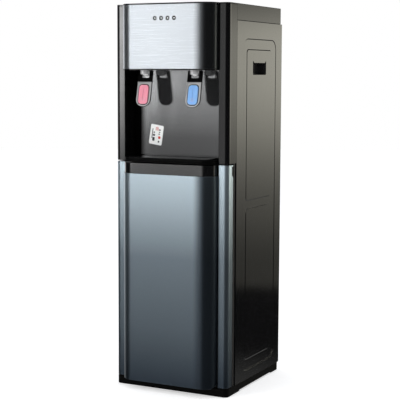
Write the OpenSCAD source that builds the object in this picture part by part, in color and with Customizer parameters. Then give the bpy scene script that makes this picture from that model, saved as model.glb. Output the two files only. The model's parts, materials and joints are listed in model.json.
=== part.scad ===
/* [Cabinet] */
// Width of the cabinet
body_w = 310; // [300:1:320]
// Depth of the cabinet, from the pillar fronts to the rear edge
body_d = 318; // [318:1:330]
// Overall height
body_h = 950; // [950:1:980]
// Radius of the upright front corners
corner_r = 12; // [8:1:14]
// Thickness of the steel sheet
sheet_t = 1.2; // [0.8:0.1:1.5]
// Depth of the front mouldings, to the seam with the side panels
seam_y = 45; // [45:1:48]
// Height of the base tray
base_h = 21; // [18:1:24]

/* [Front] */
// How far the centre of the front stands proud of the pillars
bulge = 34; // [30:1:36]
// Width of the centre of the front, between the pillars
bulge_w = 256; // [252:1:258]
// Thickness of the front mouldings
wall = 2.5; // [2:0.1:3]
// Height of the underside of the alcove floor
alcove_z = 569; // [568:1:572]
// Height of the ceiling of the alcove
ceiling_z = 791; // [788:1:794]
// Thickness of the alcove's floor and ceiling plates
plate_t = 3; // [2.5:0.1:3]
// Depth of the alcove's back wall behind the pillar fronts
alcove_y = 41; // [40:1:42]

/* [Taps] */
// Distance between the two taps
tap_pitch = 135; // [125:1:140]
// Diameter of a spout
spout_d = 18; // [15:1:19]
// Width of a lever
lever_w = 39; // [34:1:42]
// Forward lean of a lever at rest, in degrees
lever_lean = 11.8; // [10:0.1:13]
// Length of a lever below its pivot
lever_len = 99; // [95:1:102]

/* [Door] */
// Height of the gap above and below the door
door_gap = 2; // [1.5:0.5:2.5]
// Depth of the door's side flanges
door_d = 30; // [28:1:30]
// Height of the black band at the top of the door
band_h = 26; // [22:1:28]
// Distance of the hinge pin from the side of the cabinet
hinge_inset = 10; // [9:0.5:11]
// Distance of the hinge pin behind the pillar fronts
hinge_y = 20; // [19:0.5:21]
// Diameter of the hinge pins
hinge_pin_d = 6; // [5:0.5:7]

/* [Cooling and heating] */
// Diameter of the cold tank
cold_tank_d = 124; // [110:1:128]
// Diameter of the hot tank
hot_tank_d = 104; // [90:1:110]
// Width of the fan
fan_w = 92; // [80:1:92]
// Number of fan blades
fan_blades = 7; // [5:1:9]
// Number of fins on the heat sink
fin_count = 17; // [11:1:21]

/* [Hidden] */
$fn = 48;
eps = 0.01;
fine = 96;
half_w = body_w / 2;
half_b = bulge_w / 2;
flat_w = half_b - bulge;
pillar_y = (bulge - body_d) / 2;
tap_x = tap_pitch / 2;
cover_z = 910;
cover_t = 3.2;
cover_under = body_h - cover_t;
fascia_z = ceiling_z + plate_t;
floor_z = alcove_z + plate_t;
door_z = base_h + door_gap;
door_top = alcove_z - door_gap - 1;
band_z = door_top - band_h;
shelf_z = 545;
shelf_t = 2;
rear_y = body_d - 6;
ring_y = 35;
ring_in = 139;
catch_x = [ring_in + 6.4, ring_in + 12.2];
catch_z = [280, 330];
bay_floor_z = base_h;
foot_t = 3;
hinge_x = hinge_inset - half_w;
pivot_y = 4;
pivot_z = 800;
pin_d = 3.2;
pin_y = pivot_y - 2.5 * cos(lever_lean);
pin_z = pivot_z + 2.5 * sin(lever_lean);
spout_y = -11;
stem_z = fascia_z + 14;
stem_top = fascia_z + 38;
tap_top = fascia_z + 3.2;
grip_w = 80;
grip_h = 33;
grip_y = 137;
grip_z = 781;
bottle_d = 270;
bottle_y = 172;
tank_y = 135;
cold_z = 765;
cold_h = 118;
cold_ports = [[-30, 0], [30, 0], [20, -35]];
hot_x = 62;
hot_y = 140;
hot_z = 566;
hot_h = 150;
fan_x = 0;
fan_z = cold_z + 62;
pump_x = -85;
probe_x = -123;
probe_y = 284;
screw_x = half_w - 8;
screw_rows = [60, 240, 420, 610, 760, 890];
lamp_pitch = 17.3;
lamp_z = 914;
inlet_x = -95;
inlet_z = 730;
switch_z = 780;
rocker_gap = 21;
drain_z = 584;

/* Helpers: y is measured back from the pillar fronts, z up from the floor */

module front() {
    translate([0, pillar_y, 0]) children();
}

// A box given by its two ends along each axis
module block(x, y, z) {
    translate([x[0], y[0], z[0]]) cube([x[1] - x[0], y[1] - y[0], z[1] - z[0]]);
}

module rod(d, z0, z1) {
    translate([0, 0, z0]) cylinder(d = d, h = z1 - z0);
}

// A rod along Y
module rod_y(d, y0, y1) {
    translate([0, y0, 0]) rotate([-90, 0, 0]) cylinder(d = d, h = y1 - y0);
}

// A rod along X
module rod_x(d, x0, x1) {
    translate([x0, 0, 0]) rotate([0, 90, 0]) cylinder(d = d, h = x1 - x0);
}

module rounded(w, d, r) {
    square([w, d - 2 * r], center = true);
    square([w - 2 * r, d], center = true);
    for (x = [-1, 1], y = [-1, 1])
        translate([x * (w / 2 - r), y * (d / 2 - r)]) circle(r, $fn = fine);
}

// A rounded plate standing in the XZ plane, from y0 to y1
module upright(w, h, r, y0, y1) {
    translate([0, y1, 0]) rotate([90, 0, 0]) linear_extrude(y1 - y0) rounded(w, h, r);
}

// A rounded plate standing in the YZ plane, from x0 to x1
module sideways(w, h, r, x0, x1) {
    translate([x0, 0, 0]) rotate([90, 0, 90]) linear_extrude(x1 - x0) rounded(w, h, r);
}

// Outline of the bulged front, pulled in by t, closed along y = back
module bulge_2d(t, back) {
    r = bulge - t;
    translate([-flat_w, -r]) square([2 * flat_w, r + eps]);
    translate([t - half_b, 0]) square([2 * (half_b - t), back]);
    for (side = [-1, 1])
        translate([side * flat_w, 0]) intersection() {
            circle(r, $fn = fine);
            translate([-bulge, -bulge]) square([2 * bulge, bulge + eps]);
        }
}

module bulge_slab(t, back, z0, z1) {
    translate([0, 0, z0]) linear_extrude(z1 - z0) bulge_2d(t, back);
}

// A curved sheet that follows the bulged front
module bulge_sheet(t0, t1, z0, z1) {
    difference() {
        bulge_slab(t0, eps, z0, z1);
        translate([0, 0, z0 - 1]) linear_extrude(z1 - z0 + 2) bulge_2d(t1, 1);
    }
}

// Right-hand upright channel with one rounded outer corner, open to the rear
module channel_2d(x0, depth, t) {
    difference() {
        union() {
            translate([x0, 0]) square([half_w - corner_r - x0, depth]);
            translate([half_w - corner_r - eps, corner_r]) square([corner_r + eps, depth - corner_r]);
            translate([half_w - corner_r, corner_r]) circle(corner_r, $fn = fine);
        }
        translate([x0 + t, t]) square([half_w - corner_r - x0 - t, depth]);
        translate([x0 + t, corner_r]) square([half_w - 2 * t - x0 + t, depth]);
        translate([half_w - corner_r, corner_r]) circle(corner_r - t, $fn = fine);
    }
}

module flip(side) {
    if (side > 0) children();
    else mirror([1, 0, 0]) children();
}

// Straight runs between points that differ along one axis, with square push-fit elbows
module pipe(points, d) {
    for (i = [0 : len(points) - 2]) {
        a = points[i];
        b = points[i + 1];
        low = [min(a[0], b[0]), min(a[1], b[1]), min(a[2], b[2])];
        run = norm(b - a);
        translate(low)
            if (a[0] != b[0]) rotate([0, 90, 0]) cylinder(d = d, h = run);
            else if (a[1] != b[1]) rotate([-90, 0, 0]) cylinder(d = d, h = run);
            else cylinder(d = d, h = run);
        if (i > 0) translate(a) cube(d + 2, center = true);
    }
}

/* Cabinet */

// Moulded base with two full-width skids, open on top
module base_tray() {
    pocket = 6;
    floor_t = 4;
    skid_front = 72;
    skid_rear = 48;
    color([0.05, 0.05, 0.055]) front() difference() {
        translate([0, body_d / 2, 1]) linear_extrude(base_h - 1) rounded(body_w, body_d, corner_r);
        block([-half_w - 1, half_w + 1], [skid_front, body_d - skid_rear], [0, 4]);
        translate([0, (body_d + seam_y - pocket) / 2, 4 + floor_t])
            linear_extrude(base_h) rounded(body_w - 2 * pocket, body_d - seam_y - 3 * pocket, corner_r);
        for (x = [-1, 1], y = [24, body_d - 24])
            translate([x * (half_w - 28), y, 0]) rod(26.2, 0, foot_t);
        translate([hinge_x, hinge_y, 0]) rod(hinge_pin_d, base_h - 9, base_h + 1);
    }
}

// Four round rubber pads let into the skids
module foot_pads() {
    color([0.12, 0.12, 0.12]) front()
        for (x = [-1, 1], y = [24, body_d - 24])
            translate([x * (half_w - 28), y, 0]) rod(26, 0, foot_t);
}

// Embossed outline on a side panel: a narrow groove round a rectangle
module emboss(y, z, r, x0, x1) {
    groove = 3;
    w = y[1] - y[0];
    h = z[1] - z[0];
    translate([0, (y[0] + y[1]) / 2, (z[0] + z[1]) / 2]) difference() {
        sideways(w, h, r, x0, x1);
        sideways(w - 2 * groove, h - 2 * groove, r - groove, x0 - 1, x1 + 1);
    }
}

// Hand grip opening, a little wider at its top corners
module grip_cut(x0, x1) {
    ear = 5;
    block([x0, x1], [grip_y, grip_y + grip_w], [grip_z, grip_z + grip_h - ear]);
    block([x0, x1], [grip_y + ear, grip_y + grip_w - ear], [grip_z, grip_z + grip_h - 2]);
    for (y = [grip_y, grip_y + grip_w - ear])
        block([x0, x1], [y, y + ear], [grip_z, grip_z + grip_h]);
}

// Folded steel side with embossed outlines and a hand grip opening
module side_panel(side) {
    fold = 12;
    depth = 0.6;
    skin = half_w - depth;
    color([0.07, 0.07, 0.075]) front() flip(side) difference() {
        union() {
            block([half_w - sheet_t, half_w], [seam_y, body_d], [base_h, cover_z]);
            block([half_w - fold, half_w], [seam_y, seam_y + sheet_t], [base_h, cover_z]);
            block([half_w - fold, half_w], [rear_y - 2 * sheet_t, rear_y - sheet_t], [base_h, cover_z]);
        }
        emboss([84, 280], [44.5, 868], 25, skin, half_w + 1);
        emboss([103, 250], [473, 841], 8, skin, half_w + 1);
        emboss([103, 250], [73, 451], 8, skin, half_w + 1);
        grip_cut(half_w - 2 * sheet_t, half_w + 1);
        for (z = screw_rows) translate([screw_x, 0, z]) rod_y(3, rear_y - 4, rear_y);
    }
}

// Moulded finger cups behind the two grip openings
module grip_cups() {
    lip = 4;
    deep = 24;
    color([0.03, 0.03, 0.03]) front() for (side = [-1, 1]) flip(side) difference() {
        block([half_w - sheet_t - deep, half_w - sheet_t], [grip_y - lip, grip_y + grip_w + lip],
              [grip_z - lip, grip_z + grip_h + lip]);
        block([half_w - sheet_t - deep + 2, half_w], [grip_y, grip_y + grip_w],
              [grip_z, grip_z + grip_h]);
    }
}

// Steel back with louvres, a fan opening, and openings for the inlet, switches and drain
module back_panel() {
    slot_w = 70;
    slot_h = 4;
    color([0.09, 0.09, 0.095]) front() difference() {
        block([-half_w + 2, half_w - 2], [rear_y - sheet_t, rear_y], [base_h, cover_z]);
        translate([fan_x, 0, fan_z]) difference() {
            for (r = [10 : 8 : 42]) difference() {
                rod_y(2 * r, rear_y - 3, rear_y + 1);
                rod_y(2 * r - 11, rear_y - 4, rear_y + 2);
            }
            for (a = [45, 135]) rotate([0, a, 0])
                block([-50, 50], [rear_y - 4, rear_y + 2], [-2.5, 2.5]);
        }
        for (x = [-1, 1], i = [0 : 8])
            translate([x * 92, 0, 600 + i * 12]) upright(slot_w, slot_h, 1.9, rear_y - 3, rear_y + 1);
        translate([inlet_x, 0, inlet_z]) upright(28, 20, 2, rear_y - 3, rear_y + 1);
        translate([inlet_x, 0, switch_z]) upright(27, 44, 2, rear_y - 3, rear_y + 1);
        translate([hot_x, 0, drain_z]) rod_y(16, rear_y - 3, rear_y + 1);
        for (x = [-1, 1], z = screw_rows)
            translate([x * screw_x, 0, z]) rod_y(3.2, rear_y - 3, rear_y + 1);
    }
}

// Pan-head screws that hold the back panel to the folds
module back_screws() {
    color([0.6, 0.6, 0.62]) front() for (x = [-1, 1], z = screw_rows)
        translate([x * screw_x, 0, z]) {
            rod_y(3, rear_y - 2 * sheet_t, rear_y + eps);
            difference() {
                rod_y(7.4, rear_y, rear_y + 2.2);
                block([-2.4, 2.4], [rear_y + 1, rear_y + 3], [-0.5, 0.5]);
                block([-0.5, 0.5], [rear_y + 1, rear_y + 3], [-2.4, 2.4]);
            }
        }
}

// Steel shelf between the bottle bay and the tanks
module mid_shelf() {
    lip = 14;
    edge = half_w - sheet_t - 0.2;
    color([0.55, 0.56, 0.57]) front() difference() {
        union() {
            block([-edge, edge], [seam_y + 2, rear_y - 3], [shelf_z, shelf_z + shelf_t]);
            for (side = [-1, 1]) flip(side)
                block([edge - shelf_t, edge], [seam_y + 2, rear_y - 3], [shelf_z - lip, shelf_z]);
        }
        translate([probe_x, probe_y - 14, 0]) rod(12, shelf_z - 1, shelf_z + shelf_t + 1);
    }
}

// Moulded ring round the mouth of the bottle bay
module bay_frame() {
    color([0.06, 0.06, 0.065]) front() difference() {
        block([-half_w + 3, half_w - 3], [ring_y, seam_y], [base_h, alcove_z]);
        translate([0, 0, (base_h + shelf_z) / 2 + 7])
            upright(2 * ring_in, shelf_z - base_h - 14, 10, ring_y - 1, seam_y + 1);
        block(catch_x, [ring_y - 1, ring_y + 1], catch_z);
    }
}

// Loose plastic floor with three low arcs that centre the bottle
module bottle_tray() {
    arc_h = 5;
    floor_t = 3;
    color([0.16, 0.16, 0.17]) front() {
        block([-half_w + 3, half_w - 3], [seam_y + 2, rear_y - 3],
              [bay_floor_z, bay_floor_z + floor_t]);
        translate([0, bottle_y, bay_floor_z]) difference() {
            rod(bottle_d + 6, 0, floor_t + arc_h);
            rod(bottle_d + 1, -1, floor_t + arc_h + 1);
            for (turn = [30, 150, 270]) rotate(turn) block([60, 200], [-90, 90], [-1, 20]);
            block([-200, 200], [-200, seam_y + 4 - bottle_y], [-1, 20]);
        }
    }
}

/* Upper front */

module pillar(side) {
    color([0.06, 0.06, 0.065]) front() flip(side) translate([0, 0, alcove_z])
        linear_extrude(cover_under - alcove_z) channel_2d(half_b, seam_y - 0.3, wall);
}

// Floor of the alcove, following the bulge
module alcove_floor() {
    color([0.06, 0.06, 0.065]) front() bulge_slab(0.3, alcove_y, alcove_z, floor_z);
}

// Glossy back wall of the alcove and of the space behind the fascia
module alcove_panel() {
    color([0.2, 0.2, 0.21]) front() difference() {
        block([-half_b, half_b], [alcove_y, alcove_y + wall], [alcove_z, cover_under]);
        for (side = [-1, 1]) translate([side * tap_x, 0, pivot_z + 14])
            rod_y(12, alcove_y - 1, alcove_y + wall + 1);
        block([-10, 10], [alcove_y - 1, alcove_y + wall + 1], [900, 912]);
    }
}

// Ceiling of the alcove, with openings for the spouts and the lever arms
module tap_plate() {
    color([0.04, 0.04, 0.04]) front() difference() {
        bulge_slab(0.3, alcove_y, ceiling_z, fascia_z);
        for (side = [-1, 1]) translate([side * tap_x, 0, 0]) {
            translate([0, spout_y, 0]) rod(spout_d + 0.6, ceiling_z - 1, fascia_z + 1);
            block([-10.4, 10.4], [spout_y, 15.4], [ceiling_z - 1, fascia_z + 1]);
            for (arm = [-1, 1]) translate([arm * 14, 0, 0])
                block([-2.4, 2.4], [-6, 10], [ceiling_z - 1, fascia_z + 1]);
        }
    }
}

// Curved brushed metal fascia with four lamp openings
module fascia() {
    color([0.86, 0.88, 0.9]) front() difference() {
        bulge_sheet(0, 1.5, fascia_z, cover_under);
        for (i = [-1.5 : 1.5]) translate([i * lamp_pitch, 0, lamp_z]) rod_y(10.4, -bulge - 1, -bulge + 4);
    }
}

// Four round indicator lamps set flush in the fascia
module indicator_lamps() {
    color([0.05, 0.05, 0.06]) front() for (i = [-1.5 : 1.5])
        translate([i * lamp_pitch, 0, lamp_z]) {
            rod_y(10, -bulge, -bulge + 3);
            rod_y(13, -bulge + 1.7, -bulge + 3.2);
        }
}

// Circuit board behind the lamps, with its light sources and a socket
module display_board() {
    board_y = -bulge + 6;
    color([0.1, 0.4, 0.25]) front() {
        block([-46, 46], [board_y, board_y + 1.6], [898, 930]);
        for (i = [-1.5 : 1.5]) translate([i * lamp_pitch, 0, lamp_z]) rod_y(5, board_y - 2.2, board_y + eps);
        block([-8, 8], [board_y + 1.5, board_y + 8], [901, 908]);
        for (x = [-42, 42]) translate([x, 0, lamp_z]) rod_y(4, -bulge + 1.5, board_y + eps);
    }
}

// Top cover: a deep skirt behind the seam and a thin edge over the front
module top_cover() {
    color([0.06, 0.06, 0.065]) front() difference() {
        union() {
            translate([0, 0, cover_under]) linear_extrude(cover_t) {
                translate([0, body_d / 2]) rounded(body_w, body_d, corner_r);
                bulge_2d(0, 20);
            }
            translate([0, 0, cover_z]) linear_extrude(cover_under - cover_z + eps) intersection() {
                translate([0, body_d / 2]) rounded(body_w, body_d, corner_r);
                translate([-half_w, seam_y]) square([body_w, body_d - seam_y]);
            }
        }
        block([-half_w + wall, half_w - wall], [seam_y - 1, body_d - wall], [cover_z - 1, cover_under]);
    }
}

/* Taps */

// Metal spout with the rounded body behind it
module tap() {
    body_w = 20;
    body_r = 10;
    body_z = 777;
    skin = 2.4;
    difference() {
        union() {
            translate([0, spout_y, 0]) rod(spout_d, 781, tap_top);
            translate([0, 0, body_z + body_r]) {
                rod_y(body_w, spout_y + 5, 15);
                block([-body_r, body_r], [spout_y + 5, 15], [0, tap_top - body_z - body_r]);
            }
        }
        translate([0, spout_y, 0]) rod(9, 780, tap_top + 1);
        translate([0, 0, body_z + body_r]) {
            rod_y(body_w - 2 * skin, spout_y + 12, 16);
            block([skin - body_r, body_r - skin], [spout_y + 12, 16], [0, 5]);
        }
    }
}

module place_tap(side) {
    front() translate([side * tap_x, 0, 0]) children();
}

module hot_tap() {
    color([0.78, 0.79, 0.8]) place_tap(-1) tap();
}

module cold_tap() {
    color([0.78, 0.79, 0.8]) place_tap(1) tap();
}

// Plastic valve bodies above the alcove, one over each spout
module valve_bodies() {
    color([0.9, 0.9, 0.88]) for (side = [-1, 1]) place_tap(side) difference() {
        union() {
            translate([0, spout_y, 0]) rod(22, tap_top, fascia_z + 34);
            block([-6, 6], [spout_y + 6, 10], [fascia_z + 14, fascia_z + 26]);
            translate([0, 0, pivot_z + 14]) rod_y(9, 9, alcove_y + 20);
            for (arm = [-1, 1])
                block([arm * 9 - 1.5, arm * 9 + 1.5], [-6, 9], [tap_top, fascia_z + 24]);
        }
        translate([0, spout_y, 0]) rod(8, fascia_z + 1, fascia_z + 36);
        translate([0, pin_y, pin_z]) rod_x(pin_d, -12, 12);
        translate([0, 0, pivot_z + 14]) rod_y(5, spout_y, alcove_y + 21);
    }
}

// Valve stem that the lever lifts
module valve_stem(side) {
    color([0.85, 0.3, 0.25]) place_tap(side) translate([0, spout_y, 0]) {
        rod(7.9, stem_z, stem_z + 10);
        rod(4, stem_z + 10 - eps, stem_top);
    }
}

// Side outline of a lever's arm: leaning shank, pivot eye, and a hook over the valve stem
module arm_2d(bar_z, bar_t) {
    shank = 4.2;
    hook_y = spout_y - 5;
    difference() {
        union() {
            translate([pin_y, pin_z]) {
                rotate(-lever_lean) translate([-shank / 2, -36]) square([shank, 36]);
                circle(4);
                translate([-3, 0]) square([6, bar_z + bar_t - pin_z]);
            }
            translate([hook_y, bar_z]) square([pin_y - hook_y, bar_t]);
        }
        translate([pin_y, pin_z]) circle(d = pin_d + 0.1);
    }
}

// Lever: two arms that straddle the valve body, joined by a plate below and a bar above
module lever(side) {
    arm_t = 3;
    arm_x = 14;
    plate_t = 5;
    plate_len = 66;
    plate_r = 17;
    bar_z = stem_top + 0.7;
    bar_t = 3;
    color([0.36, 0.36, 0.36]) place_tap(side) {
        for (arm = [-1, 1]) translate([arm * arm_x - arm_t / 2, 0, 0])
            rotate([90, 0, 90]) linear_extrude(arm_t) arm_2d(bar_z, bar_t);
        block([-arm_x, arm_x], [spout_y - 5, spout_y + 5], [bar_z, bar_z + bar_t]);
        translate([0, pivot_y, pivot_z]) rotate([90 - lever_lean, 0, 0]) linear_extrude(plate_t)
            translate([0, -lever_len + plate_len / 2]) {
                rounded(lever_w, plate_len, plate_r);
                translate([-lever_w / 2, 0]) square([lever_w, plate_len / 2]);
            }
    }
}

// Coloured pad on the face of a lever
module pad(side) {
    place_tap(side) translate([0, pivot_y, pivot_z]) rotate([-lever_lean, 0, 0])
        translate([0, 0, -70.5]) upright(28.6, 50, 8, -7.6, -5);
}

module hot_lever() {
    lever(-1);
}

module cold_lever() {
    lever(1);
}

module hot_pad() {
    color([0.93, 0.62, 0.68]) pad(-1);
}

module cold_pad() {
    color([0.5, 0.68, 0.9]) pad(1);
}

module lever_pins() {
    color([0.7, 0.7, 0.72]) for (side = [-1, 1])
        place_tap(side) translate([0, pin_y, pin_z]) rod_x(pin_d, -20, 20);
}

// Torsion springs round the pins, four close turns each
module lever_springs() {
    wire = 0.8;
    color([0.75, 0.75, 0.77]) for (side = [-1, 1], turn = [0 : 3])
        place_tap(side) translate([16.3 + turn * 0.9, pin_y, pin_z]) rotate([0, 90, 0])
            rotate_extrude() translate([2.1, 0]) circle(d = wire, $fn = 16);
}

/* Drip tray */

tray_in = 2.6;
tray_h = 7;
tray_z = floor_z + 0.3;

module drip_tray() {
    color([0.05, 0.05, 0.055]) front() difference() {
        bulge_slab(tray_in, alcove_y - 1, tray_z, tray_z + tray_h);
        bulge_slab(tray_in + 2, alcove_y - 3, tray_z + 1.5, tray_z + tray_h + 1);
    }
}

// Slotted grille resting inside the rim of the tray
module drip_grille() {
    slot_w = 3.5;
    color([0.08, 0.08, 0.085]) front() difference() {
        union() {
            bulge_slab(tray_in + 2.4, alcove_y - 3.4, tray_z + tray_h - 2.4, tray_z + tray_h - 0.4);
            for (x = [-1, 1], y = [0, 30])
                translate([x * 60, y, 0]) rod(5, tray_z + 1.5, tray_z + tray_h - 2.4 + eps);
        }
        for (x = [-105 : 10 : 105])
            block([x - slot_w / 2, x + slot_w / 2], [-22, 30], [tray_z + tray_h - 3, tray_z + tray_h]);
    }
}

/* Door */

// Metal-look stile with a wrapped side flange
module stile_shape() {
    difference() {
        translate([0, 0, door_z]) linear_extrude(door_top - door_z)
            channel_2d(half_b + 0.8, door_d, 2.2);
        block([half_b, half_b + 4], [door_d - 3.4, door_d + 1], [door_z - 1, door_top + 1]);
    }
}

module door_stile_left() {
    color([0.55, 0.58, 0.61]) front() flip(-1) stile_shape();
}

// The right-hand stile has a finger notch near its top
module door_stile_right() {
    notch = 6;
    color([0.55, 0.58, 0.61]) front() difference() {
        stile_shape();
        block([half_w - 4, half_w + 1], [door_d - notch, door_d + 1], [542, 562]);
        translate([half_w - 4, door_d + 1, 542]) rotate([0, 90, 0])
            linear_extrude(5) polygon([[0, 0], [notch + 1, 0], [0, -notch - 1]]);
    }
}

// Curved centre panel of the door, turned in at its top edge
module door_panel() {
    t = 1.6;
    foot_r = 10;
    color([0.5, 0.53, 0.57]) front() intersection() {
        union() {
            bulge_sheet(0.6, 0.6 + t, door_z, band_z);
            bulge_slab(0.6, 2, band_z - t, band_z);
            bulge_slab(0.6, 2, door_z, door_z + t);
        }
        translate([0, 0, (door_z + band_z + foot_r) / 2])
            upright(bulge_w - 1, band_z - door_z + foot_r, foot_r, -bulge - 1, 3);
    }
}

// Black band above the panel, set back a little, closed on top
module grip_band() {
    setback = 3;
    color([0.13, 0.13, 0.14]) front() difference() {
        bulge_slab(setback, 2, band_z, door_top);
        bulge_slab(setback + wall, 3, band_z - 1, door_top - wall);
    }
}

// Inner moulding of the door: back plate, end plates and hinge bosses
module door_carcass() {
    plate = 2.5;
    boss = 13;
    half = half_w - 2.8;
    color([0.1, 0.1, 0.105]) front() difference() {
        union() {
            block([-half, half], [door_d - plate - 0.5, door_d - 0.5], [door_z + 0.5, door_top - 0.5]);
            for (z = [door_z + 0.5, door_top - 3])
                block([-half_b + 3, half_b - 3], [2.3, door_d - 1], [z, z + plate]);
            for (z = [door_z + 0.5, door_top - 12.5])
                translate([hinge_x, hinge_y, 0]) {
                    rod(boss, z, z + 12);
                    block([-3, 3], [0, door_d - hinge_y - 1], [z, z + 12]);
                }
            for (x = [-90, 0, 90])
                block([x - 1, x + 1], [-20, door_d - 1], [band_z - 40, band_z - 3]);
        }
        translate([hinge_x, hinge_y, 0]) rod(hinge_pin_d + 0.1, door_z - 1, door_z + 10.5);
        translate([hinge_x, hinge_y, 0]) rod(hinge_pin_d + 0.1, door_top - 10.5, door_top + 1);
    }
}

// Rubber seal on the back of the door
module door_gasket() {
    lip = 6;
    outer_w = 2 * (ring_in + lip);
    outer_h = shelf_z - base_h;
    color([0.25, 0.25, 0.26]) front() translate([0, 0, (base_h + shelf_z) / 2 + 7]) difference() {
        upright(outer_w, outer_h, 12, door_d - 0.5, door_d + 4.4);
        upright(outer_w - 2 * lip, outer_h - 2 * lip, 6, door_d - 2, door_d + 6);
    }
}

// Steel plates that carry the two hinge pins
module hinge_plates() {
    t = 1.4;
    color([0.62, 0.63, 0.65]) front() for (z = [base_h, alcove_z - t])
        difference() {
            block([hinge_x - 6, hinge_x + 26], [hinge_y - 8, ring_y], [z, z + t]);
            translate([hinge_x, hinge_y, 0]) rod(hinge_pin_d, z - 1, z + t + 1);
        }
}

module hinge_pins() {
    color([0.7, 0.71, 0.73]) front() translate([hinge_x, hinge_y, 0]) {
        rod(hinge_pin_d, base_h - 8.5, door_z + 10);
        rod(hinge_pin_d, door_top - 10, alcove_z);
    }
}

// Magnet on the door, opposite its steel catch plate
module door_magnet() {
    color([0.2, 0.2, 0.2]) front()
        block([ring_in + 7, ring_in + 11.5], [door_d - 0.5, door_d + 5.2], [285, 325]);
}

module catch_plate() {
    color([0.7, 0.7, 0.72]) front()
        block(catch_x, [ring_y + 0.6, ring_y + 1], catch_z);
}

/* Rear fittings */

// Power inlet with three blades in a recess
module power_inlet() {
    color([0.05, 0.05, 0.05]) front() translate([inlet_x, 0, inlet_z]) {
        difference() {
            union() {
                upright(34, 26, 3, rear_y, rear_y + 2.5);
                upright(27.6, 19.6, 2, rear_y - 20, rear_y + 1);
            }
            upright(24, 16, 2, rear_y - 17, rear_y + 3);
        }
        for (x = [-7, 0, 7])
            block([x - 1, x + 1], [rear_y - 18, rear_y - 6], [x == 0 ? 0 : -5, x == 0 ? 5 : 0]);
    }
}

// Frame for the two rocker switches
module switch_bezel() {
    color([0.05, 0.05, 0.05]) front() translate([inlet_x, 0, switch_z]) difference() {
        union() {
            upright(32, 50, 3, rear_y, rear_y + 2.5);
            upright(26.6, 43.6, 2, rear_y - 18, rear_y + 1);
        }
        for (z = [-1, 1]) translate([0, 0, z * rocker_gap / 2])
            {
                block([-10, 10], [rear_y - 16, rear_y + 3], [-8.5, 8.5]);
                translate([0, rear_y - 5, 0]) rod_x(3, -12, 12);
            }
    }
}

// Rocker with two angled faces on its own axle
module rocker(z) {
    color([0.75, 0.1, 0.08]) front() translate([inlet_x, rear_y - 5, switch_z + z * rocker_gap / 2])
        difference() {
            union() {
                rod_x(15.2, -9.6, 9.6);
                rod_x(2.9, -11.5, 11.5);
            }
            block([-10, 10], [-9, -2], [-9, 9]);
            for (tilt = [0, 20]) rotate([tilt, 0, 0])
                block([-10, 10], [6, 10], tilt == 0 ? [-9, 0] : [0, 9]);
        }
}

module hot_switch() {
    rocker(1);
}

module cold_switch() {
    rocker(-1);
}

// Screw cap on the hot tank's drain
module drain_cap() {
    color([0.1, 0.1, 0.1]) front() translate([hot_x, 0, drain_z]) difference() {
        union() {
            rod_y(22, rear_y + 0.4, rear_y + 5.6);
            rod_y(14, rear_y - 9, rear_y + 1);
        }
        rod_y(10.2, rear_y - 10, rear_y - 0.5);
        for (a = [0 : 30 : 330]) rotate([0, a, 0]) translate([11.4, 0, 0]) rod_y(2.4, rear_y, rear_y + 6);
    }
}

/* Water system */

// Steel tank with a lid flange and an open centre
module cold_tank() {
    color([0.8, 0.81, 0.82]) front() translate([0, tank_y, 0]) difference() {
        union() {
            rod(cold_tank_d, cold_z, cold_z + cold_h);
            rod(cold_tank_d + 8, cold_z + cold_h - 3, cold_z + cold_h);
            rod(40, cold_z + cold_h - eps, cold_z + cold_h + 12);
        }
        rod(cold_tank_d - 3, cold_z + 1.5, cold_z + cold_h - 1.5);
        for (port = cold_ports) translate(port) rod(8.4, cold_z - 1, cold_z + 5);
    }
}

// Foam jacket round the cold tank, open at the back for the cooling module
module tank_foam() {
    jacket = 20;
    color([0.93, 0.93, 0.9]) front() translate([0, tank_y, 0]) difference() {
        rod(cold_tank_d + 2 * jacket, cold_z - 16, cold_z + cold_h - 4);
        rod(cold_tank_d + 0.6, cold_z - 0.5, cold_z + cold_h);
        for (port = cold_ports) translate(port) rod(12, cold_z - 20, cold_z + 1);
        block([-21, 21], [40, 120], [fan_z - 21, fan_z + 21]);
    }
}

module hot_tank() {
    neck = 34;
    color([0.78, 0.79, 0.8]) front() translate([hot_x, hot_y, 0]) difference() {
        union() {
            rod(hot_tank_d, hot_z, hot_z + hot_h);
            rod(neck, hot_z + hot_h - eps, hot_z + hot_h + 8);
            for (x = [-1, 1]) block([x * 40 - 6, x * 40 + 6], [-6, 6], [shelf_z + shelf_t, hot_z + 4]);
        }
        rod(hot_tank_d - 3, hot_z + 1.5, hot_z + hot_h - 1.5);
        translate([0, 0, drain_z]) rod_y(10.4, 40, 60);
        translate([0, 0, 700]) rod_y(8.4, -60, -40);
    }
}

// Band heater clamped round the hot tank, with two terminals and a thermostat
module heater_band() {
    band = 60;
    out = hot_tank_d + 6;
    color([0.55, 0.5, 0.42]) front() translate([hot_x, hot_y, hot_z + 30]) {
        difference() {
            rod(out, 0, band);
            rod(hot_tank_d + 0.4, -1, band + 1);
            block([-60, -40], [-2, 2], [-1, band + 1]);
        }
        for (z = [12, 48]) translate([0, 0, z]) rod_y(6, -out / 2 - 8, -out / 2 + 1);
        translate([0, 0, 30]) rod_y(16, -out / 2 - 5, -out / 2 + 1);
    }
}

tank_rear = tank_y + cold_tank_d / 2;
sink_y = tank_rear + 26;
sink_d = 55;

// Finned aluminium heat sink
module heat_sink() {
    w = 92;
    base = 6;
    fin = 1.4;
    step = (w - fin) / (fin_count - 1);
    color([0.75, 0.76, 0.77]) front() translate([fan_x, sink_y, fan_z]) {
        block([-w / 2, w / 2], [0, base], [-w / 2, w / 2]);
        for (i = [0 : fin_count - 1])
            block([i * step - w / 2, i * step - w / 2 + fin], [base - eps, sink_d], [-w / 2, w / 2]);
    }
}

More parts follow.
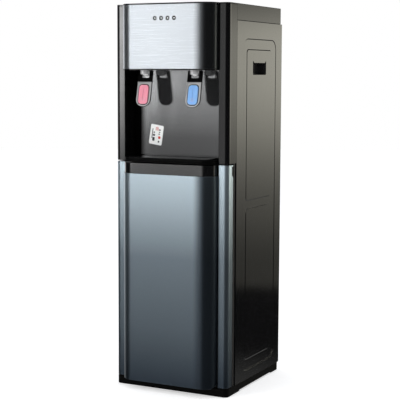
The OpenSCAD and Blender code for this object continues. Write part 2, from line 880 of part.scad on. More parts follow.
// Cold finger and thermoelectric plate between the tank and the heat sink
module cooling_module() {
    color([0.85, 0.85, 0.86]) front() translate([fan_x, 0, fan_z]) {
        difference() {
            block([-20, 20], [tank_rear - 8, sink_y - 4], [-20, 20]);
            translate([-fan_x, tank_y, 0]) rod(cold_tank_d + 0.1, -21, 21);
        }
        block([-20, 20], [sink_y - 4, sink_y], [-20, 20]);
    }
}

fan_y = sink_y + sink_d + 0.5;
fan_d = 25;

// Square fan frame with a round duct and a hub on three struts
module fan_frame() {
    color([0.06, 0.06, 0.06]) front() translate([fan_x, 0, fan_z]) difference() {
        union() {
            difference() {
                upright(fan_w, fan_w, 5, fan_y, fan_y + fan_d);
                rod_y(fan_w - 4, fan_y - 1, fan_y + fan_d + 1);
            }
            for (a = [90, 210, 330]) rotate([0, a, 0])
                block([10, fan_w / 2 - 1], [fan_y, fan_y + 2], [-2, 2]);
            rod_y(30, fan_y, fan_y + 3);
            rod_y(5, fan_y + 1, fan_y + 16);
        }
        for (x = [-1, 1], z = [-1, 1]) translate([x * 41.25, 0, z * 41.25])
            rod_y(4.3, fan_y - 1, fan_y + fan_d + 1);
    }
}

// Fan rotor: hub and pitched blades
module fan_rotor() {
    hub = 34;
    tip = fan_w / 2 - 3.5;
    color([0.1, 0.1, 0.1]) front() translate([fan_x, 0, fan_z]) difference() {
        union() {
            rod_y(hub, fan_y + 4, fan_y + 21);
            for (i = [0 : fan_blades - 1]) rotate([0, i * 360 / fan_blades, 0])
                translate([0, fan_y + 12.5, 0]) rotate([35, 0, 0])
                    block([hub / 2 - 1.5, tip], [-0.8, 0.8], [-9, 9]);
        }
        rod_y(hub - 3, fan_y + 3, fan_y + 18);
        for (i = [0 : fan_blades - 1]) rotate([0, i * 360 / fan_blades, 0])
            translate([0, fan_y + 12.5, 0]) rotate([35, 0, 0]) block([0, hub / 2 - 1.4], [-3, 3], [-12, 0]);
    }
    color([0.1, 0.1, 0.1]) front() translate([fan_x, 0, fan_z]) difference() {
        rod_y(9, fan_y + 5, fan_y + 18.5);
        rod_y(5.1, fan_y + 3, fan_y + 16.5);
    }
}

// Diaphragm pump lying on the shelf: motor, head and two barbs
module pump() {
    deck = shelf_z + shelf_t;
    axis_z = deck + 24;
    color([0.3, 0.31, 0.33]) front() translate([pump_x, 0, 0]) {
        translate([0, 0, axis_z]) {
            rod_y(34, 90, 160);
            upright(44, 44, 6, 160, 196);
        }
        block([-22, 22], [100, 190], [deck, deck + 5]);
        for (x = [-10, 10]) translate([x, 178, 0]) rod(8, axis_z + 21, axis_z + 34);
    }
}

// Silicone pipes between the pump, the tanks and the taps
module tank_pipes() {
    d = 8;
    barb_y = alcove_y + 20;
    tap_line = pivot_z + 14;
    color([0.88, 0.88, 0.86]) front() {
        pipe([[pump_x + 10, 178, 605], [pump_x + 10, 178, 741], [-30, 178, 741], [-30, tank_y, 741],
              [-30, tank_y, cold_z + 1]], d);
        pipe([[30, tank_y, cold_z + 1], [30, tank_y, 741], [hot_x, tank_y, 741],
              [hot_x, tank_y, hot_z + hot_h + 8]], d);
        pipe([[-tap_x, barb_y, tap_line], [-tap_x, barb_y + 6, tap_line], [-tap_x, barb_y + 6, 700],
              [hot_x, barb_y + 6, 700], [hot_x, hot_y - hot_tank_d / 2 + 3, 700]], d);
        pipe([[tap_x, barb_y, tap_line], [tap_x, barb_y + 8, tap_line], [tap_x, barb_y + 8, 734],
              [20, barb_y + 8, 734], [20, 100, 734], [20, 100, cold_z + 1]], d);
        translate([hot_x, 0, drain_z]) rod_y(10, hot_y + hot_tank_d / 2 - 6, rear_y - 1);
    }
}

// Suction hose from the pump down the rear corner of the bay, with its clips
module intake_hose() {
    hose_y = probe_y - 14;
    color([0.9, 0.9, 0.88]) front() {
        pipe([[pump_x - 10, 178, 605], [pump_x - 10, 178, 616], [probe_x, 178, 616],
              [probe_x, hose_y, 616], [probe_x, hose_y, 524], [probe_x, probe_y, 524],
              [probe_x, probe_y, 507]], 8);
        for (z = [560, 590])
            translate([probe_x, hose_y, 0]) rod(12, z, z + 8);
    }
}

// Steel suction probe with the cap that closes the bottle's neck, hung in its holder
module intake_probe() {
    cap_z = 470;
    holder_z = 440;
    color([0.3, 0.45, 0.75]) front() translate([probe_x, probe_y, 0]) {
        difference() {
            rod(52, cap_z, cap_z + 26);
            rod(47, cap_z - 1, cap_z + 22);
        }
        rod(14, cap_z - 4, cap_z + 37);
        rod(9, 70, cap_z);
        rod(13, 58, 78);
        difference() {
            block([sheet_t - half_w - probe_x, 8], [-8, 8], [holder_z, holder_z + 12]);
            rod(9.4, holder_z - 1, holder_z + 13);
        }
    }
}

// Control board on the right-hand side, with a transformer, relays and sockets
module control_board() {
    wall_x = half_w - sheet_t - 8;
    color([0.1, 0.38, 0.22]) front() {
        block([wall_x, wall_x + 1.6], [110, 210], [590, 740]);
        block([wall_x - 24, wall_x + eps], [125, 165], [600, 640]);
        for (z = [660, 684]) block([wall_x - 15, wall_x + eps], [130, 148], [z, z + 18]);
        block([wall_x - 9, wall_x + eps], [170, 178], [610, 720]);
        for (y = [115, 205], z = [596, 734])
            translate([0, y, z]) rod_x(6, wall_x + 1.5, half_w - sheet_t);
    }
}

base_tray();
foot_pads();
side_panel(-1);  // side_panel_left
side_panel(1);  // side_panel_right
grip_cups();
back_panel();
back_screws();
mid_shelf();
bay_frame();
bottle_tray();
pillar(-1);  // pillar_left
pillar(1);  // pillar_right
alcove_floor();
alcove_panel();
tap_plate();
fascia();
indicator_lamps();
display_board();
top_cover();
hot_tap();
cold_tap();
valve_bodies();
valve_stem(-1);  // hot_valve_stem
valve_stem(1);  // cold_valve_stem
hot_lever();
cold_lever();
hot_pad();
cold_pad();
lever_pins();
lever_springs();
drip_tray();
drip_grille();
door_stile_left();
door_stile_right();
door_panel();
grip_band();
door_carcass();
door_gasket();
hinge_plates();
hinge_pins();
door_magnet();
catch_plate();
power_inlet();
switch_bezel();
hot_switch();
cold_switch();
drain_cap();
cold_tank();
tank_foam();
hot_tank();
heater_band();
heat_sink();
cooling_module();
fan_frame();
fan_rotor();
pump();
tank_pipes();
intake_hose();
intake_probe();
control_board();
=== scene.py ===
"""Builds the pieces, finishes and stage of a floor-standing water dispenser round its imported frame."""

import json
import math

import bmesh
import bpy
from bpy.props import FloatProperty, FloatVectorProperty, IntProperty, PointerProperty
from bpy.types import Operator, Panel, PropertyGroup
from mathutils import Matrix, Vector

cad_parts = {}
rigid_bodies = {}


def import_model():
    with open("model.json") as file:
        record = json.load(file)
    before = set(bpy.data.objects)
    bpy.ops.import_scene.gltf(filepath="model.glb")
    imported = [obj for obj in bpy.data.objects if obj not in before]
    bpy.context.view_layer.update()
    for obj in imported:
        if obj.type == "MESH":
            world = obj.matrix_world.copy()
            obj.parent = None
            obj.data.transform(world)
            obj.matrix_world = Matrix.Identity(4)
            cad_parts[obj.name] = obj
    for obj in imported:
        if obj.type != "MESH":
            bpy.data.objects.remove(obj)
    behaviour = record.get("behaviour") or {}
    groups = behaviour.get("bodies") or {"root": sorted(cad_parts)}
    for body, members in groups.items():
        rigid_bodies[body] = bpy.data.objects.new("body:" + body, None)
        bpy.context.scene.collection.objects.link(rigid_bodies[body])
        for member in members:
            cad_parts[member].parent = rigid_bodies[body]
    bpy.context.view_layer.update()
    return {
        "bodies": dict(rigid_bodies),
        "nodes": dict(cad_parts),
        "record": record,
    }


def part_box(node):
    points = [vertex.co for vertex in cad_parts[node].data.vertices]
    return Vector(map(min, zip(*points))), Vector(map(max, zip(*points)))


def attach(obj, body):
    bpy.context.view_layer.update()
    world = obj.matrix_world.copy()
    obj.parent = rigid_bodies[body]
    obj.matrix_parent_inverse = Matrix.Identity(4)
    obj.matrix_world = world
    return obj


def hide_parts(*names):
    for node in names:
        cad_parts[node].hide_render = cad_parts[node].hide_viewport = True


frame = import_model()

bl_info = {
    "name": "Water Dispenser Parts",
    "version": (1, 0, 0),
    "blender": (4, 5, 0),
    "location": "3D View > Sidebar > Dispenser",
    "description": "Builds the detailed pieces, finishes and stage of a floor-standing water dispenser",
    "category": "Object",
}

# ---------------------------------------------------------------- the frame

MM = 0.001
NODES = frame["nodes"]
RECORD = frame["record"]
SLOT_OF = {part["node"]: part["material_slot"] for part in RECORD["subparts"]}
BODY_OF = {name: body for body, empty in frame["bodies"].items()
           for name, node in NODES.items() if node.parent is empty}
PILLAR_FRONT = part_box("pillar_right")[0].y
PLACE = Matrix.Translation((0, PILLAR_FRONT, 0)) @ Matrix.Scale(MM, 4)


def span(node):
    """Lowest and highest corner of a node in millimetres, with y measured back from the pillar fronts."""
    back = Vector((0, PILLAR_FRONT, 0))
    return tuple((corner - back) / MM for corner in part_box(node))


HALF_W = span("top_cover")[1].x
HALF_B = span("alcove_panel")[1].x
BULGE = -span("top_cover")[0].y
FLAT = HALF_B - BULGE
CORNER = 12
REAR_Y = span("back_panel")[1].y
FASCIA = span("fascia")
FLOOR = span("alcove_floor")
PANEL_Y = span("alcove_panel")[0].y
DOOR = span("door_panel")
STILE = span("door_stile_right")
TAP_X = (span("cold_tap")[0].x + span("cold_tap")[1].x) / 2
PIVOT = (4, 800)
LEVER_LEAN = math.radians(11.8)
SIDES = (-1, 1)
TAU = math.tau
SMOOTH = 38
MERGED = 1e-4


# ---------------------------------------------------------------- settings

class DispenserSizes(PropertyGroup):
    """Sizes that may be changed before the pieces are built"""

    press: FloatProperty(name="Press Depth", description="Depth of the pressed steps in a side panel",
                         default=0.0011, min=0.0005, max=0.002, unit="LENGTH")
    slope: FloatProperty(name="Press Slope", description="Width of the sloped wall of a pressed step",
                         default=0.0016, min=0.0008, max=0.004, unit="LENGTH")
    foot: FloatProperty(name="Door Corner", description="Radius of the lower corners of the door's skin",
                        default=0.010, min=0.004, max=0.02, unit="LENGTH")
    slat_pitch: FloatProperty(name="Slat Pitch", description="Distance between the slats of the drip grille",
                              default=0.01, min=0.006, max=0.014, unit="LENGTH")
    card_turn: FloatProperty(name="Card Turn", description="Clockwise turn of the notice card",
                             default=math.radians(8.6), subtype="ANGLE")
    fins: IntProperty(name="Fins", description="Number of fins on the heat sink", default=17, min=9, max=25)
    blades: IntProperty(name="Fan Blades", description="Number of blades on the fan", default=7, min=5, max=9)
    turns: IntProperty(name="Spring Turns", description="Turns of a lever's spring", default=4, min=3, max=6)


def colour(name, description, default):
    """A colour setting"""
    return FloatVectorProperty(name=name, description=description, default=default,
                               subtype="COLOR", size=3, min=0, max=1)


class DispenserColours(PropertyGroup):
    """Colours that may be changed before the pieces are built"""

    black: colour("Gloss Black", "Moulded front parts", (0.003, 0.003, 0.0033))
    steel: colour("Side Steel", "Painted steel sides", (0.0018, 0.0018, 0.002))
    satin: colour("Satin Black", "Textured black mouldings", (0.013, 0.013, 0.0135))
    fascia: colour("Fascia", "Brushed fascia", (0.64, 0.68, 0.72))
    # door colours hold painted reflection at the top and painted shade at the foot, as well as the paint's
    # own tone
    door_top_paint_and_reflection: colour("Door Top", "Top of the door's metal paint", (0.76, 0.91, 1.0))
    door_foot_paint_and_shade: colour("Door Foot", "Foot of the door's metal paint", (0.066, 0.088, 0.116))
    smoke: colour("Alcove Mirror", "Smoked mirror behind the taps", (0.33, 0.335, 0.34))
    bezel: colour("Lever Bezel", "Metal-look face of a lever", (0.5, 0.5, 0.5))
    hot: colour("Hot Pad", "Pad of the hot lever", (0.86, 0.30, 0.39))
    cold: colour("Cold Pad", "Pad of the cold lever", (0.22, 0.45, 0.83))


class DispenserStage(PropertyGroup):
    """Light and floor"""

    floor: colour("Floor", "Colour of the floor", (0.86, 0.86, 0.86))
    front: FloatProperty(name="Front Softbox", description="Radiance of the front softbox",
                         default=1.2, min=0)
    side: FloatProperty(name="Side Softbox", description="Radiance of the warm side softbox",
                        default=4.8, min=0)
    key: FloatProperty(name="Key Light", description="Power of the key light",
                       default=26, min=0, unit="POWER")


def sizes():
    return bpy.context.scene.dispenser_sizes


def mm(value):
    """A length setting in millimetres"""
    return value / MM


# ---------------------------------------------------------------- finishes

class Finish:
    """The node tree of one finish"""

    def __init__(self, name, metallic=0.0, **sockets):
        self.material = bpy.data.materials.new(name)
        self.material.use_nodes = True
        self.nodes = self.material.node_tree.nodes
        self.links = self.material.node_tree.links
        self.shader = self.nodes["Principled BSDF"]
        self.shader.inputs["Metallic"].default_value = metallic
        for key, value in sockets.items():
            self.shader.inputs[key.replace("_", " ")].default_value = value
        self.place = self.nodes.new("ShaderNodeTexCoord").outputs["Object"]

    def add(self, kind, wanted=0, inputs=(), **settings):
        """A node with its settings; inputs pairs a socket's name or number with a value or a socket."""
        node = self.nodes.new(kind)
        for key, value in settings.items():
            setattr(node, key, value)
        for key, value in dict(inputs).items():
            if isinstance(value, bpy.types.NodeSocket):
                self.links.new(value, node.inputs[key])
            else:
                node.inputs[key].default_value = value
        return node.outputs[wanted]

    def moved(self, stretch):
        return self.add("ShaderNodeMapping", inputs={"Vector": self.place, "Scale": stretch})

    def noise(self, scale, detail=2.0, stretch=(1, 1, 1), rough=0.5):
        return self.add("ShaderNodeTexNoise", "Fac", {"Vector": self.moved(stretch), "Scale": scale,
                                                      "Detail": detail, "Roughness": rough})

    def cells(self, scale, wanted="Distance", feature="F1"):
        return self.add("ShaderNodeTexVoronoi", wanted, {"Vector": self.moved((1, 1, 1)), "Scale": scale},
                        feature=feature)

    def ranged(self, value, lo, hi, to_lo=0.0, to_hi=1.0, kind="LINEAR"):
        return self.add("ShaderNodeMapRange", "Result", {"Value": value, "From Min": lo, "From Max": hi,
                                                        "To Min": to_lo, "To Max": to_hi},
                        interpolation_type=kind)

    def maths(self, operation, a, b=0.0):
        return self.add("ShaderNodeMath", inputs={0: a, 1: b}, operation=operation)

    def axis(self, letter):
        return self.add("ShaderNodeSeparateXYZ", letter, {0: self.place})

    def tinted(self, fac, first, second):
        """A colour between two others"""
        node = self.nodes.new("ShaderNodeMix")
        node.data_type = "RGBA"
        for index, value in ((0, fac), (6, first), (7, second)):
            if isinstance(value, bpy.types.NodeSocket):
                self.links.new(value, node.inputs[index])
            else:
                node.inputs[index].default_value = (*value, 1) if index else value
        return node.outputs[2]

    def ramp(self, fac, stops):
        node = self.nodes.new("ShaderNodeValToRGB")
        ramp = node.color_ramp
        for _ in stops[2:]:
            ramp.elements.new(0.5)
        for element, (place, shade) in zip(ramp.elements, stops):
            element.position = place
            element.color = (*shade, 1)
        self.links.new(fac, node.inputs[0])
        return node.outputs[0]

    def edge_wear_and_highlight(self, radius, strength):
        """How much an edge is lightened, partly as thinned paint and partly as a painted highlight, from how
        its rounded normal turns
        """
        soft = self.add("ShaderNodeBevel", "Normal", {"Radius": radius}, samples=4)
        true = self.add("ShaderNodeNewGeometry", "Normal")
        dot = self.add("ShaderNodeVectorMath", "Value", {0: soft, 1: true}, operation="DOT_PRODUCT")
        turned = self.ranged(dot, 0.995, 0.80)
        return self.maths("MULTIPLY", self.maths("MULTIPLY", turned, strength), self.noise(240, 3))

    def painted_rounding_shade(self, base, dark, limits, most=1.0):
        """Painted shade: darkens a bulged sheet between two X limits, towards its right-hand rounding"""
        return self.tinted(self.ranged(self.axis("X"), *limits, 0.0, most, "SMOOTHSTEP"), base, dark)

    def surface(self, tint=None, rough=None, height=None, depth=0.0, strength=0.5):
        if tint is not None:
            self.links.new(tint, self.shader.inputs["Base Color"])
        if rough is not None:
            self.links.new(rough, self.shader.inputs["Roughness"])
        if height is not None:
            bump = self.add("ShaderNodeBump", "Normal", {"Height": height, "Strength": strength,
                                                         "Distance": depth})
            self.links.new(bump, self.shader.inputs["Normal"])
        return self.material


def scaled(shade, factor):
    return tuple(min(1.0, c * factor) for c in shade)


def gloss_plastic(name, shade, rough=0.07, coat=0.0, ior=1.52):
    """Polished moulded plastic: faint sink waves, smudges and a lighter edge that is partly wear and partly
    painted highlight
    """
    f = Finish(name, Coat_Weight=coat, Coat_Roughness=0.03, IOR=ior)
    smudge = f.noise(9, 4)
    base = f.tinted(f.noise(60, 3), scaled(shade, 0.85), scaled(shade, 1.15))
    # edges lightened: partly wear, partly painted highlight
    base = f.tinted(f.edge_wear_and_highlight(0.0006, 0.5), base, scaled(shade, 3.5))
    return f.surface(base, f.ranged(smudge, 0.3, 0.75, rough * 0.7, rough * 1.6),
                     f.noise(140, 1), 0.00001, 0.25)


def grained_plastic(name, shade, rough=0.42, grain=2600, depth=0.00006):
    """Moulded plastic with a spark-eroded grain"""
    f = Finish(name, IOR=1.5)
    pits = f.cells(grain)
    base = f.tinted(f.noise(45, 4), scaled(shade, 0.8), scaled(shade, 1.25))
    # edges lightened: partly wear, partly painted highlight
    base = f.tinted(f.edge_wear_and_highlight(0.0007, 0.6), base, scaled(shade, 3.0))
    return f.surface(base, f.ranged(f.noise(300, 3), 0.2, 0.8, rough - 0.07, rough + 0.09), pits, depth, 0.35)


def painted_steel(name, shade, rough=0.06):
    """Sprayed gloss paint with orange peel, a clear coat, and edges lightened partly as thinned paint and
    partly as a painted highlight
    """
    f = Finish(name, Coat_Weight=0.55, Coat_Roughness=0.035, IOR=1.55)
    peel = f.noise(260, 2)
    base = f.tinted(f.cells(1800), scaled(shade, 0.8), scaled(shade, 1.3))
    # edges lightened: partly wear, partly painted highlight
    base = f.tinted(f.edge_wear_and_highlight(0.0008, 0.45), base, (0.02, 0.02, 0.019))
    return f.surface(base, f.ranged(f.noise(7, 3), 0.3, 0.8, rough, rough * 2), peel, 0.000012, 0.22)


def brushed_metal(name, shade, rough, along, metallic, line, shade_span=None):
    """Metal with fine parallel brush lines; along is how far each axis is squeezed"""
    f = Finish(name, metallic=metallic)
    lines = f.noise(1, 6, along, 0.65)
    cloud = f.noise(6, 2)
    base = f.tinted(lines, scaled(shade, 1 - line), scaled(shade, 1 + line))
    base = f.tinted(f.ranged(cloud, 0.35, 0.7, 0, 0.25), base, scaled(shade, 0.93))
    # edges lightened: partly wear, partly painted highlight
    base = f.tinted(f.edge_wear_and_highlight(0.0005, 0.3), base, scaled(shade, 1.2))
    if shade_span:
        # painted shade towards the right-hand rounding
        base = f.painted_rounding_shade(base, scaled(shade, 0.14), shade_span)
    return f.surface(base, f.ranged(lines, 0.25, 0.8, rough * 0.8, rough * 1.3), lines, 0.00002, 0.2)


def flaked_paint(name, top, foot, lo, hi, shade_span=None):
    """Metal-look paint with fine flakes that darkens from its top to its foot, partly the paint itself and
    partly painted reflection and shade
    """
    f = Finish(name, metallic=0.95, Coat_Weight=0.2, Coat_Roughness=0.08)
    # painted reflection and shade: lighter at the top, darker at the foot
    rise = f.ranged(f.axis("Z"), lo, hi)
    low, middle, upper = (tuple(of_top * a + of_foot * b for a, b in zip(top, foot))
                          for of_top, of_foot in ((0.16, 0.84), (0.27, 0.73), (0.74, 0.26)))
    shade = f.ramp(rise, [(0.0, foot), (0.25, low), (0.58, middle), (0.85, upper), (1.0, top)])
    if shade_span:
        # painted shade towards the right-hand rounding
        shade = f.painted_rounding_shade(shade, scaled(foot, 0.6), shade_span, 0.85)
    flakes = f.cells(2600, "Color")
    spark = f.ranged(f.add("ShaderNodeSeparateColor", "Red", {0: flakes}), 0, 1, 0.0, 0.16)
    base = f.tinted(spark, shade, (0.0, 0.0, 0.0))
    # edges lightened: partly wear, partly painted highlight
    base = f.tinted(f.edge_wear_and_highlight(0.0006, 0.5), base, scaled(top, 1.5))
    return f.surface(base, f.ranged(f.noise(500, 3), 0.2, 0.8, 0.28, 0.42), f.cells(2600), 0.000025, 0.15)


def rubber(name, shade):
    """Matt rubber with bloom and a fine skin"""
    f = Finish(name, IOR=1.5, Sheen_Weight=0.25)
    base = f.tinted(f.noise(90, 5), scaled(shade, 0.75), scaled(shade, 1.4))
    return f.surface(base, f.ranged(f.noise(420, 3), 0.2, 0.8, 0.62, 0.82), f.noise(1500, 3), 0.00005, 0.3)


def spangled_zinc(name, shade):
    """Zinc-coated steel with its crystal spangle"""
    f = Finish(name, metallic=0.9)
    grain = f.add("ShaderNodeSeparateColor", "Green", {0: f.cells(160, "Color")})
    base = f.tinted(grain, scaled(shade, 0.78), scaled(shade, 1.15))
    return f.surface(base, f.ranged(grain, 0, 1, 0.28, 0.46), f.noise(900, 3), 0.00002, 0.2)


def closed_foam(name, shade):
    """Moulded bead foam"""
    f = Finish(name)
    bead = f.cells(320, feature="SMOOTH_F1")
    base = f.tinted(f.ranged(bead, 0.1, 0.5), shade, scaled(shade, 0.8))
    return f.surface(base, f.ranged(bead, 0.1, 0.5, 0.7, 0.9), bead, 0.0003, 0.5)


def circuit_board(name, shade):
    """Green board with its tracks and solder mask"""
    f = Finish(name, IOR=1.5, Coat_Weight=0.3, Coat_Roughness=0.1)
    track = f.ranged(f.cells(260, "Distance", feature="DISTANCE_TO_EDGE"), 0.03, 0.05)
    base = f.tinted(track, scaled(shade, 2.2), shade)
    return f.surface(base, f.ranged(f.noise(200), 0, 1, 0.25, 0.4), track, 0.00003, 0.4)


def clear_silicone(name, shade):
    """Milky silicone"""
    f = Finish(name, Subsurface_Weight=0.35, Subsurface_Scale=0.004, IOR=1.42)
    base = f.tinted(f.noise(70, 4), scaled(shade, 0.9), shade)
    return f.surface(base, f.ranged(f.noise(180, 3), 0, 1, 0.26, 0.4), f.noise(500, 2), 0.00003, 0.2)


def lit_lens(name, shade):
    """Frosted lens with a faint light behind it"""
    f = Finish(name, IOR=1.49, Emission_Color=(*shade, 1), Emission_Strength=0.8)
    frost = f.noise(3000, 2)
    return f.surface(f.tinted(frost, scaled(shade, 0.9), shade), f.ranged(frost, 0, 1, 0.3, 0.5), frost,
                     0.00002, 0.3)


def matt_black(name, shade):
    """Deep black plastic that mirrors hardly anything"""
    f = Finish(name, Specular_IOR_Level=0.06)
    base = f.tinted(f.noise(400, 3), scaled(shade, 0.8), scaled(shade, 1.25))
    # edges lightened: partly wear, partly painted highlight
    base = f.tinted(f.edge_wear_and_highlight(0.0005, 0.5), base, scaled(shade, 4))
    return f.surface(base, f.ranged(f.noise(300, 3), 0.2, 0.8, 0.3, 0.45), f.noise(1500, 2), 0.00002, 0.2)


def lever_face(name, shade):
    """Metal-look bezel of a lever"""
    f = Finish(name, metallic=0.55, Coat_Weight=0.6, Coat_Roughness=0.06)
    base = f.tinted(f.noise(900, 3), scaled(shade, 0.9), scaled(shade, 1.1))
    return f.surface(base, f.ranged(f.noise(40, 3), 0.2, 0.8, 0.16, 0.28), f.noise(700, 2), 0.00001, 0.2)


def pad_plastic(name, shade):
    """Soft-gloss coloured plastic with a painted highlight along its raised edge"""
    f = Finish(name, IOR=1.5, Subsurface_Weight=0.12, Subsurface_Scale=0.002, Coat_Weight=0.35,
               Coat_Roughness=0.12)
    base = f.tinted(f.noise(160, 4), scaled(shade, 0.94), scaled(shade, 1.05))
    # painted highlight: the raised rim is lightened strongly towards white
    base = f.tinted(f.edge_wear_and_highlight(0.0022, 1.3), base, tuple(0.45 * c + 0.5 for c in shade))
    return f.surface(base, f.ranged(f.noise(260, 3), 0.2, 0.8, 0.24, 0.36), f.noise(1800, 2), 0.00002, 0.2)


def smoked_mirror(name, shade):
    """Dark metallised plate with faint wiping marks, dimmed by painted reflection towards its foot and by
    painted shade at its two ends
    """
    f = Finish(name, metallic=0.9, Coat_Weight=0.2, Coat_Roughness=0.05)
    foot, head, left_painted_shade, right_painted_shade = 0.575, 0.79, (-0.106, -0.088), (0.1165, 0.1195)
    rise = f.ranged(f.axis("Z"), foot, head)
    # painted reflection: brighter towards the head, dimmer towards the foot
    base = f.ramp(rise, [(at, scaled(shade, much)) for at, much in (
        (0.0, 0.25), (0.24, 0.3), (0.47, 0.57), (0.65, 0.77), (0.83, 0.96), (1.0, 1.0))])
    # painted shade at the left and right ends of the wall
    base = f.tinted(f.ranged(f.axis("X"), *left_painted_shade, kind="SMOOTHSTEP"), scaled(shade, 0.03), base)
    base = f.tinted(f.ranged(f.axis("X"), *right_painted_shade, kind="SMOOTHSTEP"), base, scaled(shade, 0.1))
    wipe = f.noise(1, 4, (30, 30, 6))
    base = f.tinted(f.ranged(wipe, 0.3, 0.7, 0.0, 0.12), base, (0.02, 0.02, 0.02))
    return f.surface(base, f.ranged(wipe, 0.3, 0.75, 0.05, 0.12), f.noise(60, 1), 0.00001, 0.1)


def printed_card(name, shade):
    """Coated paper card"""
    f = Finish(name, IOR=1.45, Coat_Weight=0.3, Coat_Roughness=0.2)
    fibre = f.noise(1200, 5)
    return f.surface(f.tinted(fibre, scaled(shade, 0.94), shade), f.ranged(fibre, 0, 1, 0.35, 0.5),
                     fibre, 0.00001, 0.2)


# where painted shade darkens the bulged sheets into their right-hand rounding
ROUNDING_SHADE_SPAN = ((FLAT - 20) * MM, (FLAT + 6) * MM)
# how far the brush lines of level and of turned metal squeeze each axis
LEVEL = (9, 900, 2600)
ROUND_Z = (14, 14, 1600)


def recipes():
    """How each finish is made"""
    c = bpy.context.scene.dispenser_colours
    return {
        "gloss_black": lambda n: gloss_plastic(n, c.black),
        "side_steel": lambda n: painted_steel(n, c.steel),
        "satin_black": lambda n: grained_plastic(n, c.satin),
        "smoke_panel": lambda n: smoked_mirror(n, c.smoke),
        "fascia_silver": lambda n: brushed_metal(n, c.fascia, 0.3, LEVEL, 0.97, 0.05, ROUNDING_SHADE_SPAN),
        "door_silver": lambda n: flaked_paint(n, c.door_top_paint_and_reflection, c.door_foot_paint_and_shade, 0.03, 0.56),
        "door_sheet": lambda n: flaked_paint(n, c.door_top_paint_and_reflection, c.door_foot_paint_and_shade, 0.03, 0.56, ROUNDING_SHADE_SPAN),
        "lever_grey": lambda n: lever_face(n, c.bezel),
        "pad_pink": lambda n: pad_plastic(n, c.hot),
        "pad_blue": lambda n: pad_plastic(n, c.cold),
        "tap_metal": lambda n: brushed_metal(n, (0.80, 0.80, 0.80), 0.26, ROUND_Z, 0.45, 0.04),
        "lamp_black": lambda n: matt_black(n, (0.006, 0.006, 0.007)),
        "deep_black": lambda n: matt_black(n, (0.0022, 0.0022, 0.0022)),
        "band_black": lambda n: gloss_plastic(n, c.black, 0.12, 1.0, 1.65),
        "lamp_lens": lambda n: lit_lens(n, (0.85, 0.87, 0.88)),
        "board_green": lambda n: circuit_board(n, (0.02, 0.16, 0.07)),
        "white_plastic": lambda n: grained_plastic(n, (0.74, 0.74, 0.71), 0.4, 1800, 0.00003),
        "soft_rubber": lambda n: rubber(n, (0.022, 0.022, 0.024)),
        "silicone": lambda n: clear_silicone(n, (0.72, 0.73, 0.70)),
        "stainless": lambda n: brushed_metal(n, (0.62, 0.62, 0.61), 0.26, ROUND_Z, 1.0, 0.08),
        "zinc_steel": lambda n: spangled_zinc(n, (0.55, 0.56, 0.57)),
        "alloy": lambda n: brushed_metal(n, (0.66, 0.67, 0.69), 0.36, (700, 20, 700), 1.0, 0.1),
        "foam_white": lambda n: closed_foam(n, (0.82, 0.82, 0.78)),
        "heater_tan": lambda n: brushed_metal(n, (0.36, 0.29, 0.19), 0.45, (9, 9, 1200), 0.4, 0.2),
        "switch_red": lambda n: gloss_plastic(n, (0.55, 0.02, 0.015), 0.16),
        "probe_blue": lambda n: gloss_plastic(n, (0.05, 0.16, 0.50), 0.2),
        "pump_grey": lambda n: grained_plastic(n, (0.06, 0.062, 0.066)),
        "card_white": lambda n: printed_card(n, (1.0, 1.0, 0.98)),
        "ink_dark": lambda n: printed_card(n, (0.02, 0.02, 0.022)),
        "ink_red": lambda n: printed_card(n, (0.62, 0.05, 0.03)),
        "mark_hot": lambda n: pad_plastic(n, (0.70, 0.16, 0.24)),
        "mark_cold": lambda n: pad_plastic(n, (0.10, 0.28, 0.68)),
    }


def finish(name):
    """The material for a finish, made once"""
    return bpy.data.materials.get(f"{name}_finish") or recipes()[name](f"{name}_finish")


# ---------------------------------------------------------------- mesh helpers

def skin(bm, rows, closed=False, material=0):
    """Faces between rows of points; closed joins each row's ends."""
    made = [[bm.verts.new(p) for p in row] for row in rows]
    for low, high in zip(made, made[1:]):
        count = len(low)
        for i in range(count if closed else count - 1):
            j = (i + 1) % count
            bm.faces.new((low[i], low[j], high[j], high[i])).material_index = material
    return made


def capped(bm, rows, material=0):
    """A closed solid through rows of points, with both ends filled."""
    made = skin(bm, rows, True, material)
    bm.faces.new(reversed(made[0])).material_index = material
    bm.faces.new(made[-1]).material_index = material
    return made


def along_x(a, b, c):
    return (c, a, b)


def along_y(a, b, c):
    return (a, c, b)


def along_z(a, b, c):
    return (a, b, c)


def prism(bm, outline, start, end, put=along_z, material=0):
    """A closed solid that carries an outline of (a, b) points from start to end"""
    capped(bm, [[put(a, b, c) for a, b in outline] for c in (start, end)], material)


def block(bm, x, y, z):
    prism(bm, [(x[0], y[0]), (x[1], y[0]), (x[1], y[1]), (x[0], y[1])], *z)


def arc(cx, cy, r, start, end, steps):
    """Points on an arc, angles in degrees"""
    return [(cx + r * math.cos(math.radians(start + (end - start) * i / steps)),
             cy + r * math.sin(math.radians(start + (end - start) * i / steps))) for i in range(steps + 1)]


def rounded(w, h, r, cx=0.0, cy=0.0, steps=8):
    """Outline of a rounded rectangle"""
    x, y = w / 2 - r, h / 2 - r
    return (arc(cx + x, cy - y, r, -90, 0, steps) + arc(cx + x, cy + y, r, 0, 90, steps)
            + arc(cx - x, cy + y, r, 90, 180, steps) + arc(cx - x, cy - y, r, 180, 270, steps))


def lathe(bm, profile, centre, put, steps=40, material=0):
    """A closed turned solid. profile lists (radius, along); put turns (a, b, along) into a point."""
    rows = []
    for radius, along in profile:
        rows.append([put(centre[0] + radius * math.cos(TAU * i / steps),
                         centre[1] + radius * math.sin(TAU * i / steps), along) for i in range(steps)])
    capped(bm, rows, material)


